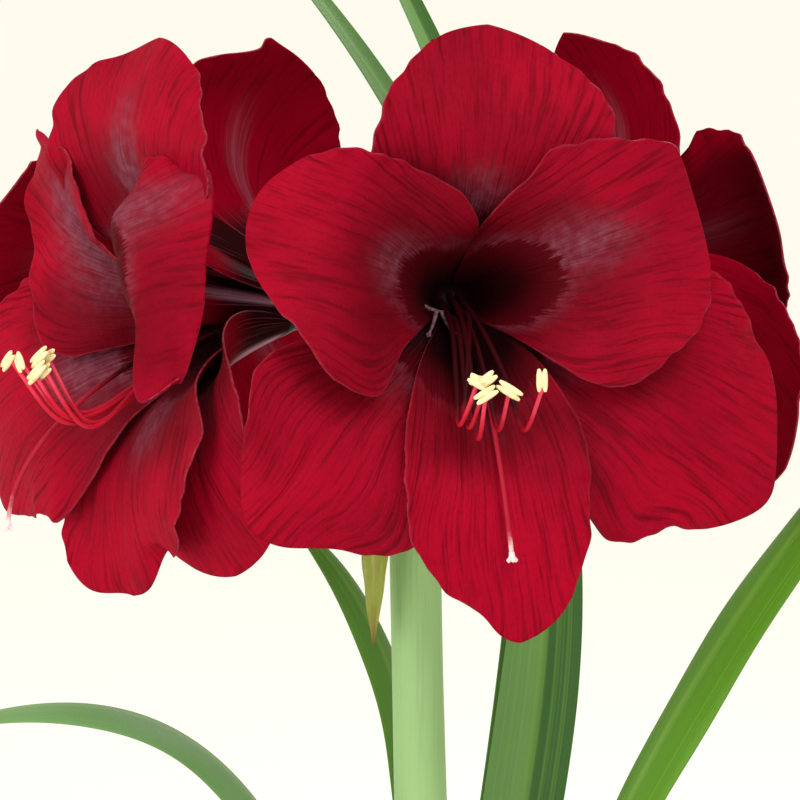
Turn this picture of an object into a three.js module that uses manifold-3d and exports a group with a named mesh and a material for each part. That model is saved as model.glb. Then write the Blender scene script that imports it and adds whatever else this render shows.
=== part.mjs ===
// A potted amaryllis in flower. Millimetres, +Z up, the origin is the middle of the pot's underside.
// One scape carries four blooms. Bloom "front" faces the viewer, who stands on the -Y side.
import * as THREE from "three";
import { mergeVertices } from "three/addons/utils/BufferGeometryUtils.js";
import Module from "manifold-3d";

const wasm = await Module();
wasm.setup();

// Pot, soil and bulb
const POT_HEIGHT = 130;
const POT_FOOT_RADIUS = 56;
const POT_WALL_TOP_RADIUS = 74;
const POT_RIM_RADIUS = 80;
const POT_RIM_DEPTH = 30;
const POT_WALL = 6;
const POT_FLOOR = 8;
const POT_SIDES = 30;
const DRAIN_RADIUS = 5;
const DRAIN_RING_RADIUS = 30;
const DRAIN_COUNT = 4;
const SOIL_TOP = 112;
const SEAT_GAP = 0.3;
const BULB_RADIUS = 48;
const BULB_FOOT = 58;
const BULB_SIDES = 24;
const NECK_TOP = 186;
const NECK_RADIUS = 27;

// Scape, pedicels and bracts
const SCAPE_BASE = [1, 0, 172.4];
const SCAPE_KNEE = [-8.5, 0, 430];
const UMBEL = [-10, 0, 600];
const SCAPE_BASE_RADIUS = 12;
const SCAPE_TOP_RADIUS = 10.2;
const SCAPE_TAPER_LENGTH = 0.62;
const SCAPE_SIDES = 16;
const PEDICEL_REACH = 57;
const PEDICEL_RADIUS = 5;
const PEDICEL_SINK = 4;
const PEDICEL_BEND = 30;
const OVARY_RADIUS = 7.2;
const OVARY_LENGTH = 16;
const BRACT_DROP = 14;
const BRACT_THICKNESS = 0.7;
const BRACT_SEAT = 0.75;

// Tepals
const TEPAL_THICKNESS = 0.8;
const INNER_CLAW = { radius: 5, belly: 11 };
const OUTER_CLAW = { radius: 7, belly: 14 };
const CLAW_START = 2;
const CLAW_HEIGHT = 30;
const CLAW_SHARE = 1.03;
const FIRST_ROW = 0.2;
const TIP_ROW = 0.93;
const NECK_PLUG_RADIUS = 9.6;
const NECK_PLUG_LENGTH = 7;

// Stamens and style
const DISC_RADIUS = 5.6;
const DISC_START = 7.4;
const DISC_END = 9.6;
const FILAMENT_COUNT = 6;
const FILAMENT_SPACING = 1.5;
const FILAMENT_RING_RADIUS = 3.9;
const FILAMENT_FOOT_RADIUS = 1.15;
const FILAMENT_TIP_RADIUS = 0.8;
const ANTHER_RADIUS = 1.6;
const ANTHER_END_RADIUS = 0.9;
const STYLE_RADIUS = 0.95;
const STIGMA_RADIUS = 1.9;

// Leaves
const LEAF_FOOT_THICKNESS = 3;
const LEAF_TIP_THICKNESS = 1.3;
const LEAF_COLUMNS = 4;

const COLOURS = {
  clay: { color: 0xb4623f, roughness: 0.85 },
  soil: { color: 0x3b2a1e, roughness: 0.95 },
  tunic: { color: 0x8a5a34, roughness: 0.8 },
  stem: { color: 0x95bd86, roughness: 0.45 },
  leaf: { color: 0x4f8a3a, roughness: 0.45 },
  bract: { color: 0xb9b56a, roughness: 0.75 },
  petal: { color: 0xa20c25, roughness: 0.5 },
  stamen: { color: 0xd8485f, roughness: 0.5 },
};

const vec = (p) => new THREE.Vector3(...p);
const radians = THREE.MathUtils.degToRad;
const lerp = THREE.MathUtils.lerp;
const smooth = (x) => THREE.MathUtils.smoothstep(x, 0, 1);

// A closed solid from a list of points and a list of corner triples
function solid(points, corners) {
  const vertProperties = new Float32Array(points.flatMap((p) => [p.x, p.y, p.z]));
  const triVerts = new Uint32Array(corners.flat());
  return new wasm.Manifold(new wasm.Mesh({ numProp: 3, vertProperties, triVerts }));
}

function fuse(solids) {
  return solids.reduce((whole, piece) => whole.add(piece));
}

// Fills whatever small pocket is left closed off between two claws
function withoutPockets(shape) {
  return shape.decompose().reduce((largest, piece) =>
    piece.volume() > largest.volume() ? piece : largest,
  );
}

function named(name, shape, colour) {
  const { vertProperties, triVerts } = shape.getMesh();
  const geometry = new THREE.BufferGeometry();
  geometry.setAttribute("position", new THREE.BufferAttribute(vertProperties, 3));
  geometry.setIndex(new THREE.BufferAttribute(triVerts, 1));
  geometry.computeVertexNormals();
  const material = new THREE.MeshStandardMaterial({ ...COLOURS[colour], metalness: 0 });
  const mesh = new THREE.Mesh(geometry, material);
  mesh.name = name;
  return mesh;
}

// A solid turned from [radius, height] pairs that begin and end on the axis, each vertex then moved
function lathe(profile, sides, move) {
  const outline = profile.map(([radius, height]) => new THREE.Vector2(radius, height));
  const turned = new THREE.LatheGeometry(outline, sides);
  turned.deleteAttribute("normal");
  turned.deleteAttribute("uv");
  const { attributes, index } = mergeVertices(turned);
  const points = [];
  for (let i = 0; i < attributes.position.count; i++) {
    points.push(move(new THREE.Vector3().fromBufferAttribute(attributes.position, i)));
  }
  const corners = [];
  for (let i = 0; i < index.count; i += 3) {
    const corner = [index.getX(i), index.getX(i + 1), index.getX(i + 2)];
    if (new Set(corner).size === 3) corners.push(corner);
  }
  return solid(points, corners);
}

// A round body that stands upright, swollen a little by a function of the angle round it
function upright(profile, sides, swell = () => 0) {
  return lathe(profile, sides, (point) => {
    const reach = Math.hypot(point.x, point.z);
    const turn = Math.atan2(-point.z, point.x);
    const radius = reach === 0 ? 0 : reach + swell(turn);
    return new THREE.Vector3(radius * Math.cos(turn), radius * Math.sin(turn), point.y);
  });
}

// A round rod along a curve, its radius a function of the way along
function rod(curve, radiusAt, rings, sides) {
  const { normals, binormals } = curve.computeFrenetFrames(rings, false);
  const profile = [[0, 0]];
  for (let i = 0; i <= rings; i++) profile.push([radiusAt(i / rings), i]);
  profile.push([0, rings]);
  return lathe(profile, sides, (point) =>
    curve
      .getPointAt(point.y / rings)
      .addScaledVector(normals[point.y], point.x)
      .addScaledVector(binormals[point.y], -point.z),
  );
}

// A thin blade: a sheet laid on the surface pointAt(across -1 to 1, along 0 to 1), then thickened
// evenly to both sides, with the same triangles on both
function blade(columns, rows, pointAt, thicknessAt) {
  const sheet = new THREE.PlaneGeometry(1, 1, columns, rows);
  const { position, uv } = sheet.attributes;
  const count = position.count;
  for (let i = 0; i < count; i++) {
    position.setXYZ(i, ...pointAt(2 * uv.getX(i) - 1, 1 - uv.getY(i)));
  }
  sheet.computeVertexNormals();
  const points = [];
  for (const side of [1, -1]) {
    for (let i = 0; i < count; i++) {
      const normal = new THREE.Vector3().fromBufferAttribute(sheet.attributes.normal, i);
      const point = new THREE.Vector3().fromBufferAttribute(position, i);
      points.push(point.addScaledVector(normal, (side * thicknessAt(1 - uv.getY(i))) / 2));
    }
  }
  const corners = [];
  for (let i = 0; i < sheet.index.count; i += 3) {
    const [a, b, c] = [0, 1, 2].map((k) => sheet.index.getX(i + k));
    corners.push([a, b, c], [count + c, count + b, count + a]);
  }
  const width = columns + 1;
  const rim = [];
  for (let j = 0; j < columns; j++) rim.push(j);
  for (let i = 0; i < rows; i++) rim.push(i * width + columns);
  for (let j = columns; j > 0; j--) rim.push(rows * width + j);
  for (let i = rows; i > 0; i--) rim.push(i * width);
  rim.forEach((here, k) => {
    const next = rim[(k + 1) % rim.length];
    corners.push([here, next, count + next], [here, count + next, count + here]);
  });
  return solid(points, corners);
}

function potInnerRadius(height) {
  const share = (height - POT_FLOOR) / (POT_HEIGHT - POT_FLOOR);
  return lerp(POT_FOOT_RADIUS, POT_WALL_TOP_RADIUS, share) - POT_WALL;
}

// Terracotta pot with a thick rolled rim and four drain holes
function pot() {
  const rimFoot = POT_HEIGHT - POT_RIM_DEPTH;
  const profile = [
    [0, 0],
    [POT_FOOT_RADIUS - 2, 0],
    [POT_FOOT_RADIUS, 2],
    [lerp(POT_FOOT_RADIUS, POT_WALL_TOP_RADIUS, rimFoot / POT_HEIGHT), rimFoot],
    [POT_RIM_RADIUS - 3, rimFoot + 2],
    [POT_RIM_RADIUS - 1, rimFoot + 6],
    [POT_RIM_RADIUS, POT_HEIGHT - 5],
    [POT_RIM_RADIUS - 1.5, POT_HEIGHT - 1],
    [POT_RIM_RADIUS - 4.5, POT_HEIGHT],
    [potInnerRadius(POT_HEIGHT) + 2, POT_HEIGHT],
    [potInnerRadius(POT_HEIGHT), POT_HEIGHT - 3],
    [potInnerRadius(POT_FLOOR), POT_FLOOR],
    [0, POT_FLOOR],
  ];
  const drains = [];
  for (let k = 0; k < DRAIN_COUNT; k++) {
    const turn = (2 * Math.PI * (k + 0.5)) / DRAIN_COUNT;
    const [x, y] = [DRAIN_RING_RADIUS * Math.cos(turn), DRAIN_RING_RADIUS * Math.sin(turn)];
    const line = new THREE.LineCurve3(vec([x, y, -1]), vec([x, y, POT_FLOOR + 1]));
    drains.push(rod(line, () => DRAIN_RADIUS, 1, 12));
  }
  return upright(profile, POT_SIDES).subtract(fuse(drains));
}

const BULB_PROFILE = [
  [0, BULB_FOOT],
  [22, BULB_FOOT],
  [32, BULB_FOOT + 7],
  [44, BULB_FOOT + 26],
  [BULB_RADIUS, BULB_FOOT + 46],
  [46, BULB_FOOT + 68],
  [39, BULB_FOOT + 86],
  [32, BULB_FOOT + 101],
  [28, BULB_FOOT + 114],
  [NECK_RADIUS, NECK_TOP],
  [0, NECK_TOP],
];
const bulbSwell = (turn) => 0.9 * Math.sin(3 * turn + 0.6) + 0.5 * Math.sin(7 * turn);

// The bulb in its papery tunic; the scape and the leaves stand in sockets in its neck
function bulb(sockets) {
  return upright(BULB_PROFILE, BULB_SIDES, bulbSwell).subtract(fuse(sockets));
}

// Potting soil that fills the pot round the bulb
function soil() {
  const floor = POT_FLOOR + SEAT_GAP;
  const side = (height) => potInnerRadius(height) - SEAT_GAP;
  const profile = [
    [0, floor],
    [side(floor), floor],
    [side(SOIL_TOP - 3), SOIL_TOP - 3],
    [side(SOIL_TOP - 3) - 6, SOIL_TOP],
    [BULB_RADIUS + 8, SOIL_TOP - 2],
    [BULB_RADIUS - 2, SOIL_TOP + 1],
    [0, SOIL_TOP + 1],
  ];
  const room = BULB_PROFILE.map(([radius, height]) => [
    radius === 0 ? 0 : radius + SEAT_GAP,
    height === BULB_FOOT ? height - SEAT_GAP : height,
  ]);
  return upright(profile, POT_SIDES).subtract(upright(room, BULB_SIDES, bulbSwell));
}

const scapeCurve = new THREE.QuadraticBezierCurve3(vec(SCAPE_BASE), vec(SCAPE_KNEE), vec(UMBEL));

function scapeRadius(share) {
  return lerp(SCAPE_BASE_RADIUS, SCAPE_TOP_RADIUS, Math.min(1, share / SCAPE_TAPER_LENGTH));
}

// A bloom's own axes: to the viewer's right, to its upper side and out of its face
function placed(bloom) {
  const [azimuth, pitch, roll] = [bloom.azimuth, bloom.pitch, bloom.roll].map(radians);
  const face = new THREE.Vector3(
    Math.sin(azimuth) * Math.cos(pitch),
    -Math.cos(azimuth) * Math.cos(pitch),
    Math.sin(pitch),
  );
  const level = new THREE.Vector3(0, 0, 1).cross(face).normalize();
  const right = level.applyAxisAngle(face, -roll);
  const up = face.clone().cross(right);
  const base = bloom.base ? vec(bloom.base) : face.clone().multiplyScalar(PEDICEL_REACH);
  const origin = vec(UMBEL).add(base);
  return (x, y, z) =>
    origin.clone().addScaledVector(right, x).addScaledVector(up, y).addScaledVector(face, z);
}

// Half the width of a tepal at a share of its length, as a share of the full half width
function halfWidth(side, share) {
  if (share < side.widest) {
    const growth = smooth(share / side.widest) ** side.spread;
    return side.claw + (1 - side.claw) * growth;
  }
  const past = Math.min(1, (share - side.widest) / (1 - side.widest));
  return Math.sqrt(1 - past ** side.blunt);
}

// Where along the tepal its outline has closed in to a given share of the half width
function closesAt(side, width) {
  return side.widest + (1 - side.widest) * (1 - width * width) ** (1 / side.blunt);
}

// A point after the pulls that make a tepal uneven. Each is [right, up, [move], size]: the place in
// the bloom's own axes, how far the tepal is drawn there, and how wide the pull reaches.
function pulled(point, pulls) {
  const moved = [...point];
  for (const [x, y, move, size] of pulls) {
    const near = Math.exp(-((point[0] - x) ** 2 + (point[1] - y) ** 2) / size ** 2);
    move.forEach((length, axis) => (moved[axis] += near * length));
  }
  return moved;
}

// The surface of one tepal: across from its left edge to its right edge, along from claw to tip.
// Its claw wraps round the throat, then it opens by its angles of cup and curl, and its edge waves.
function tepalSurface(place, tepal, rows) {
  const turn = radians(tepal.clock);
  const claw = tepal.inner ? INNER_CLAW : OUTER_CLAW;
  const midrib = new THREE.CubicBezierCurve3(
    vec([claw.radius, 0, CLAW_START]),
    vec([claw.radius + claw.belly, 0, CLAW_HEIGHT]),
    vec(tepal.shoulder),
    vec(tepal.tip),
  );
  return (u, row) => {
    const step = (row * rows - 1) / (rows - 1);
    const v = row === 0 ? 0 : lerp(FIRST_ROW, 1, Math.max(0, step) ** 0.92);
    const edge = Math.abs(u);
    const side = u > 0 ? tepal.right : tepal.left;
    const bulge = closesAt(side, edge * halfWidth(side, TIP_ROW)) - TIP_ROW;
    const share = Math.min(1, TIP_ROW * v + bulge * smooth((v - 0.55) / 0.45));
    const middle = midrib.getPointAt(share);
    const ahead = midrib.getTangentAt(share);
    const across = new THREE.Vector3(0, 1, 0).addScaledVector(ahead, -ahead.y).normalize();
    const inward = ahead.clone().cross(across);
    const full = Math.min(side.half * halfWidth(side, TIP_ROW * v), middle.x * CLAW_SHARE);
    const width = full * edge;
    const tube = (-inward.x * full) / middle.x;
    const open = radians(lerp(side.cup, side.curl, smooth((share - 0.45) / 0.55)));
    const wrap = lerp(tube, open, smooth((share - 0.42) / 0.22)) * edge;
    const bend = Math.abs(wrap) < 0.0005 ? 0.0005 : wrap;
    const wave = Math.sin(2 * Math.PI * (tepal.waves * share + tepal.phase + 0.35 * u));
    const ruffle = tepal.ruffle * smooth((share - 0.3) / 0.4) * u * u * wave;
    const peak = tepal.point * (1 - edge) ** 2 * smooth((v - 0.8) / 0.2);
    const { x: r, y: t, z } = middle
      .addScaledVector(across, (width * Math.sign(u) * Math.sin(bend)) / bend)
      .addScaledVector(inward, (width * (1 - Math.cos(bend))) / bend + ruffle)
      .addScaledVector(ahead, peak);
    const [sin, cos] = [Math.sin(turn), Math.cos(turn)];
    return place(...pulled([r * sin + t * cos, r * cos - t * sin, z], tepal.pulls));
  };
}

// Six tepals in two whorls, held together by the neck of the tube
function perianth(bloom) {
  const place = placed(bloom);
  const tepals = bloom.tepals.map((tepal) => {
    const surface = tepalSurface(place, tepal, bloom.rows);
    return blade(bloom.columns, bloom.rows, surface, () => TEPAL_THICKNESS);
  });
  const neck = new THREE.LineCurve3(place(0, 0, 0), place(0, 0, NECK_PLUG_LENGTH));
  const plug = rod(neck, (t) => lerp(OVARY_RADIUS, NECK_PLUG_RADIUS, t), 1, 12);
  return withoutPockets(fuse([plug, ...tepals]));
}

// A filament sags out of the throat and turns up at its end, where it carries its anther
function stamen(place, k, rings, { reach, sag, drop, lift, fan }) {
  const row = k % 2 === 0 ? 1 : -1;
  const order = k - (FILAMENT_COUNT - 1) / 2;
  const across = order * FILAMENT_SPACING;
  const deep = Math.sqrt(FILAMENT_RING_RADIUS ** 2 - across ** 2) * row;
  const spread = fan * order;
  const [x, y, z] = [spread * 1.25, -drop + 2.5 * row, reach - 3.5 * (1 + row)];
  const filament = new THREE.CubicBezierCurve3(
    place(across, deep, DISC_END - 0.6),
    place(across * 1.2, deep * 0.6 - 1.5, reach * 0.44),
    place(spread * 0.9, -sag + 1.5 * row, reach * 0.78),
    place(x, y, z),
  );
  const lean = 3.4 * (((k * 37) % 5) / 4 - 0.5);
  const anther = new THREE.LineCurve3(place(x - lean, y - 0.8, z - 3.2), place(x + lean, y + lift, z + 3));
  return fuse([
    rod(filament, (t) => lerp(FILAMENT_FOOT_RADIUS, FILAMENT_TIP_RADIUS, t), rings, 4),
    rod(anther, (t) => lerp(ANTHER_END_RADIUS, ANTHER_RADIUS, Math.sin(Math.PI * t)), 2, 5),
  ]);
}

// Six stamens and the longer style, on a small disc in the throat
function stamens(bloom) {
  const place = placed(bloom);
  const [x, y, z] = bloom.stamens.style;
  const disc = new THREE.LineCurve3(place(0, 0, DISC_START), place(0, 0, DISC_END));
  const style = new THREE.CubicBezierCurve3(
    place(0, 0, DISC_END - 0.6),
    place(0.2 * x, 0.02 * y, 45),
    place(0.5 * x, 0.5 * y, z * 0.98),
    place(x, y, z),
  );
  const styleRadius = (t) => (t > 0.97 ? STIGMA_RADIUS : STYLE_RADIUS);
  const pieces = [
    rod(disc, () => DISC_RADIUS, 1, 10),
    rod(style, styleRadius, bloom.filamentRings + 2, 4),
  ];
  for (let k = 0; k < FILAMENT_COUNT; k++) {
    pieces.push(stamen(place, k, bloom.filamentRings, bloom.stamens));
  }
  return fuse(pieces);
}

// A pedicel that leaves the umbel and ends in the ovary just behind the bloom
function pedicel(bloom) {
  const place = placed(bloom);
  const start = vec(UMBEL).add(new THREE.Vector3(0, 0, -PEDICEL_SINK));
  const curve = new THREE.QuadraticBezierCurve3(
    start,
    place(0, 0, -PEDICEL_BEND),
    place(0, 0, -SEAT_GAP),
  );
  const length = curve.getLength();
  return rod(
    curve,
    (t) => {
      const fromEnd = ((1 - t) * length) / OVARY_LENGTH;
      const swell = fromEnd < 1 ? Math.sin(Math.PI * Math.min(1, fromEnd + 0.25)) : 0;
      return lerp(PEDICEL_RADIUS, OVARY_RADIUS, swell);
    },
    8,
    10,
  );
}

// The leafless stalk with its four pedicels, one green piece
function scape(blooms) {
  return fuse([rod(scapeCurve, scapeRadius, 10, SCAPE_SIDES), ...blooms.map(pedicel)]);
}

// The surface of a strap leaf: channelled, narrow in the bulb's neck and rounded at the tip
function leafSurface(leaf, wider = 0) {
  const curve = new THREE.CubicBezierCurve3(...leaf.path.map(vec));
  return (u, share) => {
    const ahead = curve.getTangentAt(share);
    const twist = radians(leaf.faces + leaf.twist * smooth(share));
    const level = new THREE.Vector3(Math.cos(twist), Math.sin(twist), 0);
    const across = level.addScaledVector(ahead, -level.dot(ahead)).normalize();
    const under = ahead.clone().cross(across);
    const opening = lerp(leaf.foot, leaf.half, smooth(share / 0.4));
    const past = Math.max(0, (share - leaf.tapers) / (1 - leaf.tapers));
    const closing = Math.sqrt(Math.max(0.02, 1 - past ** leaf.blunt));
    return curve
      .getPointAt(share)
      .addScaledVector(across, (opening * closing + wider) * u)
      .addScaledVector(under, leaf.channel * u * u * smooth(share / 0.2) * closing);
  };
}

function leafBlade(leaf) {
  const thickness = (share) => lerp(LEAF_FOOT_THICKNESS, LEAF_TIP_THICKNESS, share);
  return blade(LEAF_COLUMNS, leaf.rows, leafSurface(leaf), thickness);
}

// The slot in the bulb's neck that a leaf stands in
function leafSocket(leaf) {
  const surface = leafSurface(leaf, SEAT_GAP);
  const lowered = (u, share) => {
    const point = surface(u, (share * 2) / leaf.rows);
    return share === 0 ? point.setZ(point.z - 2 * SEAT_GAP) : point;
  };
  return blade(LEAF_COLUMNS, 2, lowered, () => LEAF_FOOT_THICKNESS + 2 * SEAT_GAP);
}

function scapeSocket() {
  const [x, y, z] = SCAPE_BASE;
  const line = new THREE.LineCurve3(vec([x, y, z - 0.4]), vec([x - 0.6, y, NECK_TOP + 2]));
  return rod(line, () => SCAPE_BASE_RADIUS + SEAT_GAP, 1, SCAPE_SIDES);
}

// A papery bract, seated on the scape at the foot of the umbel, that hangs down beside it
function bract({ turn, twist, away, half, length }) {
  const surface = (u, share) => {
    const reach = lerp(SCAPE_TOP_RADIUS + BRACT_SEAT, away, smooth(share * 1.6));
    const width = half * Math.sqrt(Math.max(0.012, 1 - share ** 1.6));
    const angle = radians(turn + twist * share) + (width * u) / (reach + 4);
    const drop = BRACT_DROP + length * share + (share > 0.9 ? 3 * (1 - u * u) : 0);
    return vec(UMBEL).add(
      new THREE.Vector3(reach * Math.cos(angle), reach * Math.sin(angle), -drop),
    );
  };
  return blade(4, 9, surface, () => BRACT_THICKNESS);
}

// A side of a tepal: its half width, where it is widest, how blunt its tip is, how fast it spreads
// from its claw, and its angles of cup and curl. A tepal has a clock angle in degrees from the top
// of the bloom and a tip as [distance from the axis, sideways, out of the face].
const SIDE = { half: 42, widest: 0.6, blunt: 2.5, spread: 0.6, claw: 0.16, cup: 14, curl: -6 };
const BROAD = { widest: 0.62, spread: 0.7 };
const LOWEST = { half: 35, widest: 0.64, spread: 0.8 };
const TEPAL = { point: 2, ruffle: 1.2, waves: 3, phase: 0, pulls: [] };

function outer(clock, tip, left, right, more) {
  const sides = { left: { ...SIDE, ...left }, right: { ...SIDE, ...right } };
  return { ...TEPAL, inner: false, shoulder: [31, 0, 88], clock, tip, ...sides, ...more };
}

function inner(clock, tip, left, right, more) {
  return { ...outer(clock, tip, left, right, { shoulder: [30, 0, 98], ...more }), inner: true };
}

const BLOOMS = {
  front: {
    azimuth: 9,
    pitch: 11,
    roll: 0,
    base: [12.5, -54.3, 12],
    rows: 7,
    columns: 8,
    filamentRings: 6,
    stamens: { reach: 103, sag: 66, drop: 36, lift: 2, fan: 4.2, style: [9, -95, 78] },
    tepals: [
      outer(4, [94, 2, 55], { half: 41, widest: 0.58, blunt: 1.5, spread: 0.7, cup: 16, curl: 12 },
        { half: 45, widest: 0.58, blunt: 1.8, spread: 0.7, cup: 16, curl: 12 },
        { shoulder: [28, -2, 90], waves: 2.5, phase: 0.1, pulls: [[45, 62, [4, 1, 0], 20]] }),
      outer(120, [126, -5, 44], { half: 46, widest: 0.66, blunt: 2.4, spread: 0.8, curl: -14 },
        { half: 49, widest: 0.66, blunt: 4.6, spread: 0.7, curl: -4 },
        { shoulder: [34, 2, 86], phase: 0.3, ruffle: 1.5, point: 1, pulls: [
          [109, -13, [-7, 0, 0], 18],
          [113, -42, [-4, 0, 0], 18],
          [103, -73, [5, -3, 0], 14],
          [75, -90, [0, 7, 0], 16],
          [51, -80, [-2, -8, 0], 14],
        ] }),
      outer(-135, [115, 0, 46], { half: 34, widest: 0.66, blunt: 3.6, spread: 0.7, curl: -4 },
        { half: 22, widest: 0.62, blunt: 3.4, spread: 0.7, curl: -8 },
        { shoulder: [32, 0, 84], phase: 0.6, ruffle: 1.5, point: 1, pulls: [
          [-63, -30, [-14, 8, 0], 22],
          [-32, -78, [6, -11, 0], 18],
          [-55, -94, [0, 5, 0], 16],
          [-85, -68, [3, 0, 0], 16],
        ] }),
      inner(76, [84, 0, 66], { half: 41, widest: 0.52, blunt: 3.2, spread: 0.38, curl: 10 },
        { half: 44, widest: 0.56, blunt: 2.8, spread: 0.5, curl: 10 },
        { shoulder: [30, 0, 96], point: 0, pulls: [
          [6, 22, [-5, 0, 0], 14],
          [37, -26, [1, -7, 0], 18],
          [69, 45, [3, 4, 0], 14],
        ] }),
      inner(-69, [85, 3, 68], { half: 50, widest: 0.44, blunt: 2, spread: 0.4, curl: 10 },
        { half: 32, widest: 0.5, blunt: 4, spread: 0.35, curl: 10 },
        { shoulder: [30, 0, 96], phase: 0.5, point: 0, pulls: [
          [-11, 29, [10, -5, 0], 14],
          [-44, -21, [6, -15, 0], 14],
          [-74, -10, [4, 0, 0], 18],
          [-63, 49, [0, -5, 0], 20],
        ] }),
      inner(172, [123, 5, 60], { half: 33, widest: 0.68, blunt: 2, spread: 0.9, cup: 20, curl: 2 },
        { half: 34, widest: 0.62, blunt: 1.7, spread: 0.9, cup: 20, curl: 2 },
        { shoulder: [30, 3, 94], waves: 2.5, phase: 0.2, pulls: [
          [-22, -84, [-4, 0, 0], 16],
          [-4, -115, [3, 3, 0], 10],
          [43, -78, [-3, 0, 0], 18],
          [37, -103, [-3, 0, 0], 14],
        ] }),
    ],
  },
  left: {
    azimuth: -52,
    pitch: 7,
    roll: 0,
    rows: 7,
    columns: 8,
    filamentRings: 6,
    stamens: { reach: 122, sag: 66, drop: 24, lift: 3, fan: 3.2, style: [-10, -83, 126] },
    tepals: [
      outer(0, [95, 2, 74], { half: 47, blunt: 2.2, curl: 4 },
        { half: 43, widest: 0.62, blunt: 2.8, curl: -14 },
        { shoulder: [30, 0, 110], waves: 2.5, phase: 0.1, pulls: [
          [-16, 92, [0, -4, 0], 16],
          [-37, 76, [-5, 0, 0], 14],
          [44, 54, [4, 0, -3], 18],
        ] }),
      outer(-123, [112, 0, 70], { half: 48, widest: 0.66, blunt: 2.8, spread: 0.7, curl: -4 },
        { half: 40, widest: 0.64, blunt: 2.8, spread: 0.7, curl: -4 },
        { shoulder: [34, 0, 96], phase: 0.4, ruffle: 1.5, point: 1, pulls: [
          [-26, -76, [0, -9, 0], 12],
          [-78, -79, [0, -7, 0], 14],
        ] }),
      outer(140, [98, 28, 46], { half: 37, widest: 0.62, blunt: 2.8, spread: 0.7, curl: -12 },
        { half: 38, widest: 0.62, blunt: 2, spread: 0.7, curl: -4 },
        { shoulder: [34, 0, 84], phase: 0.6, ruffle: 1.5, point: 1 }),
      inner(-62, [80, 24, 76], { half: 31, widest: 0.46, blunt: 2.6, spread: 0.45, curl: 10 },
        { half: 26, widest: 0.56, blunt: 2.6, curl: 10 },
        { shoulder: [34, -12, 98], phase: 0.2, point: 4, pulls: [
          [-66, 18, [2, 0, -10], 16],
          [-42, -12, [-4, -10, 6], 18],
          [-59, 62, [-4, -3, 5], 8],
          [-46, 60, [0, -9, 0], 7],
          [-20, 40, [-7, -14, 3], 14],
          [-8, 30, [-4, -13, 3], 12],
        ] }),
      inner(60, [60, -8, 73], { half: 38, widest: 0.62, blunt: 3.2, spread: 0.7, curl: -20 },
        { half: 46, blunt: 3, spread: 0.7, cup: 10, curl: -30 },
        { shoulder: [8, 0, 148], ruffle: 1.5, point: 0, pulls: [
          [5, 48, [5, -9, -14], 14],
          [54, 18, [-5, 0, 4], 18],
          [48, -8, [-4, -26, 3], 8],
          [32, -7, [5, -6, -5], 9],
          [43, 43, [1, 6, 0], 7],
        ] }),
      inner(180, [106, 8, 56], { half: 42, widest: 0.58, blunt: 2.8, spread: 0.7, cup: 16, curl: -6 },
        { half: 34, widest: 0.64, blunt: 2.6, spread: 0.8, cup: 16, curl: 14 },
        { shoulder: [34, 0, 96], phase: 0.2, point: 3, pulls: [
          [-32, -38, [7, -10, -6], 16],
          [39, -42, [5, 0, -3], 16],
          [-29, -97, [-5, 0, 3], 12],
          [17, -101, [-3, 12, 0], 11],
          [-22, -102, [-3, -7, 0], 9],
        ] }),
    ],
  },
  back: {
    azimuth: -133,
    pitch: 8,
    roll: -8,
    rows: 6,
    columns: 6,
    filamentRings: 4,
    stamens: { reach: 108, sag: 62, drop: 32, lift: 2, fan: 3.8, style: [4, -90, 92] },
    tepals: [
      outer(-14, [90, 11, 56], { half: 56, widest: 0.56, blunt: 2.4 }, { half: 44, blunt: 2.4 },
        { point: 6, pulls: [[-62, 55, [-5, -2, -5], 20], [0, 92, [0, -5, 0], 20]] }),
      outer(96, [124, 0, 56], { ...BROAD, half: 44 }, { ...BROAD, half: 44 }, { phase: 0.4 }),
      outer(-126, [110, 0, 52], BROAD, BROAD, { phase: 0.7 }),
      inner(48, [86, 0, 70], {}, {}, { phase: 0.2 }),
      inner(-66, [88, 0, 70], {}, {}, { phase: 0.5 }),
      inner(170, [106, 0, 66], LOWEST, LOWEST, { phase: 0.8 }),
    ],
  },
  right: {
    azimuth: 122,
    pitch: 9,
    roll: 14,
    rows: 6,
    columns: 6,
    filamentRings: 4,
    stamens: { reach: 108, sag: 62, drop: 32, lift: 2, fan: 3.8, style: [-4, -90, 92] },
    tepals: [
      outer(4, [94, 0, 52], { half: 36, blunt: 2.2 }, { half: 44, blunt: 2.2 }, { point: 4 }),
      outer(-146, [110, 0, 52], { ...BROAD, half: 44 }, { ...BROAD, half: 40 }, { phase: 0.4 }),
      outer(112, [112, 0, 52], BROAD, BROAD, { phase: 0.7 }),
      inner(-84, [72, 0, 70], {}, { half: 40 }, { phase: 0.2 }),
      inner(46, [88, 0, 70], {}, {}, { phase: 0.5 }),
      inner(168, [106, 0, 66], LOWEST, LOWEST, { phase: 0.8 }),
    ],
  },
};

const BRACTS = {
  left: { turn: 230, twist: 6, away: 20, half: 7.5, length: 104 },
  right: { turn: 38, twist: -4, away: 15.5, half: 8, length: 88 },
};

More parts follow.
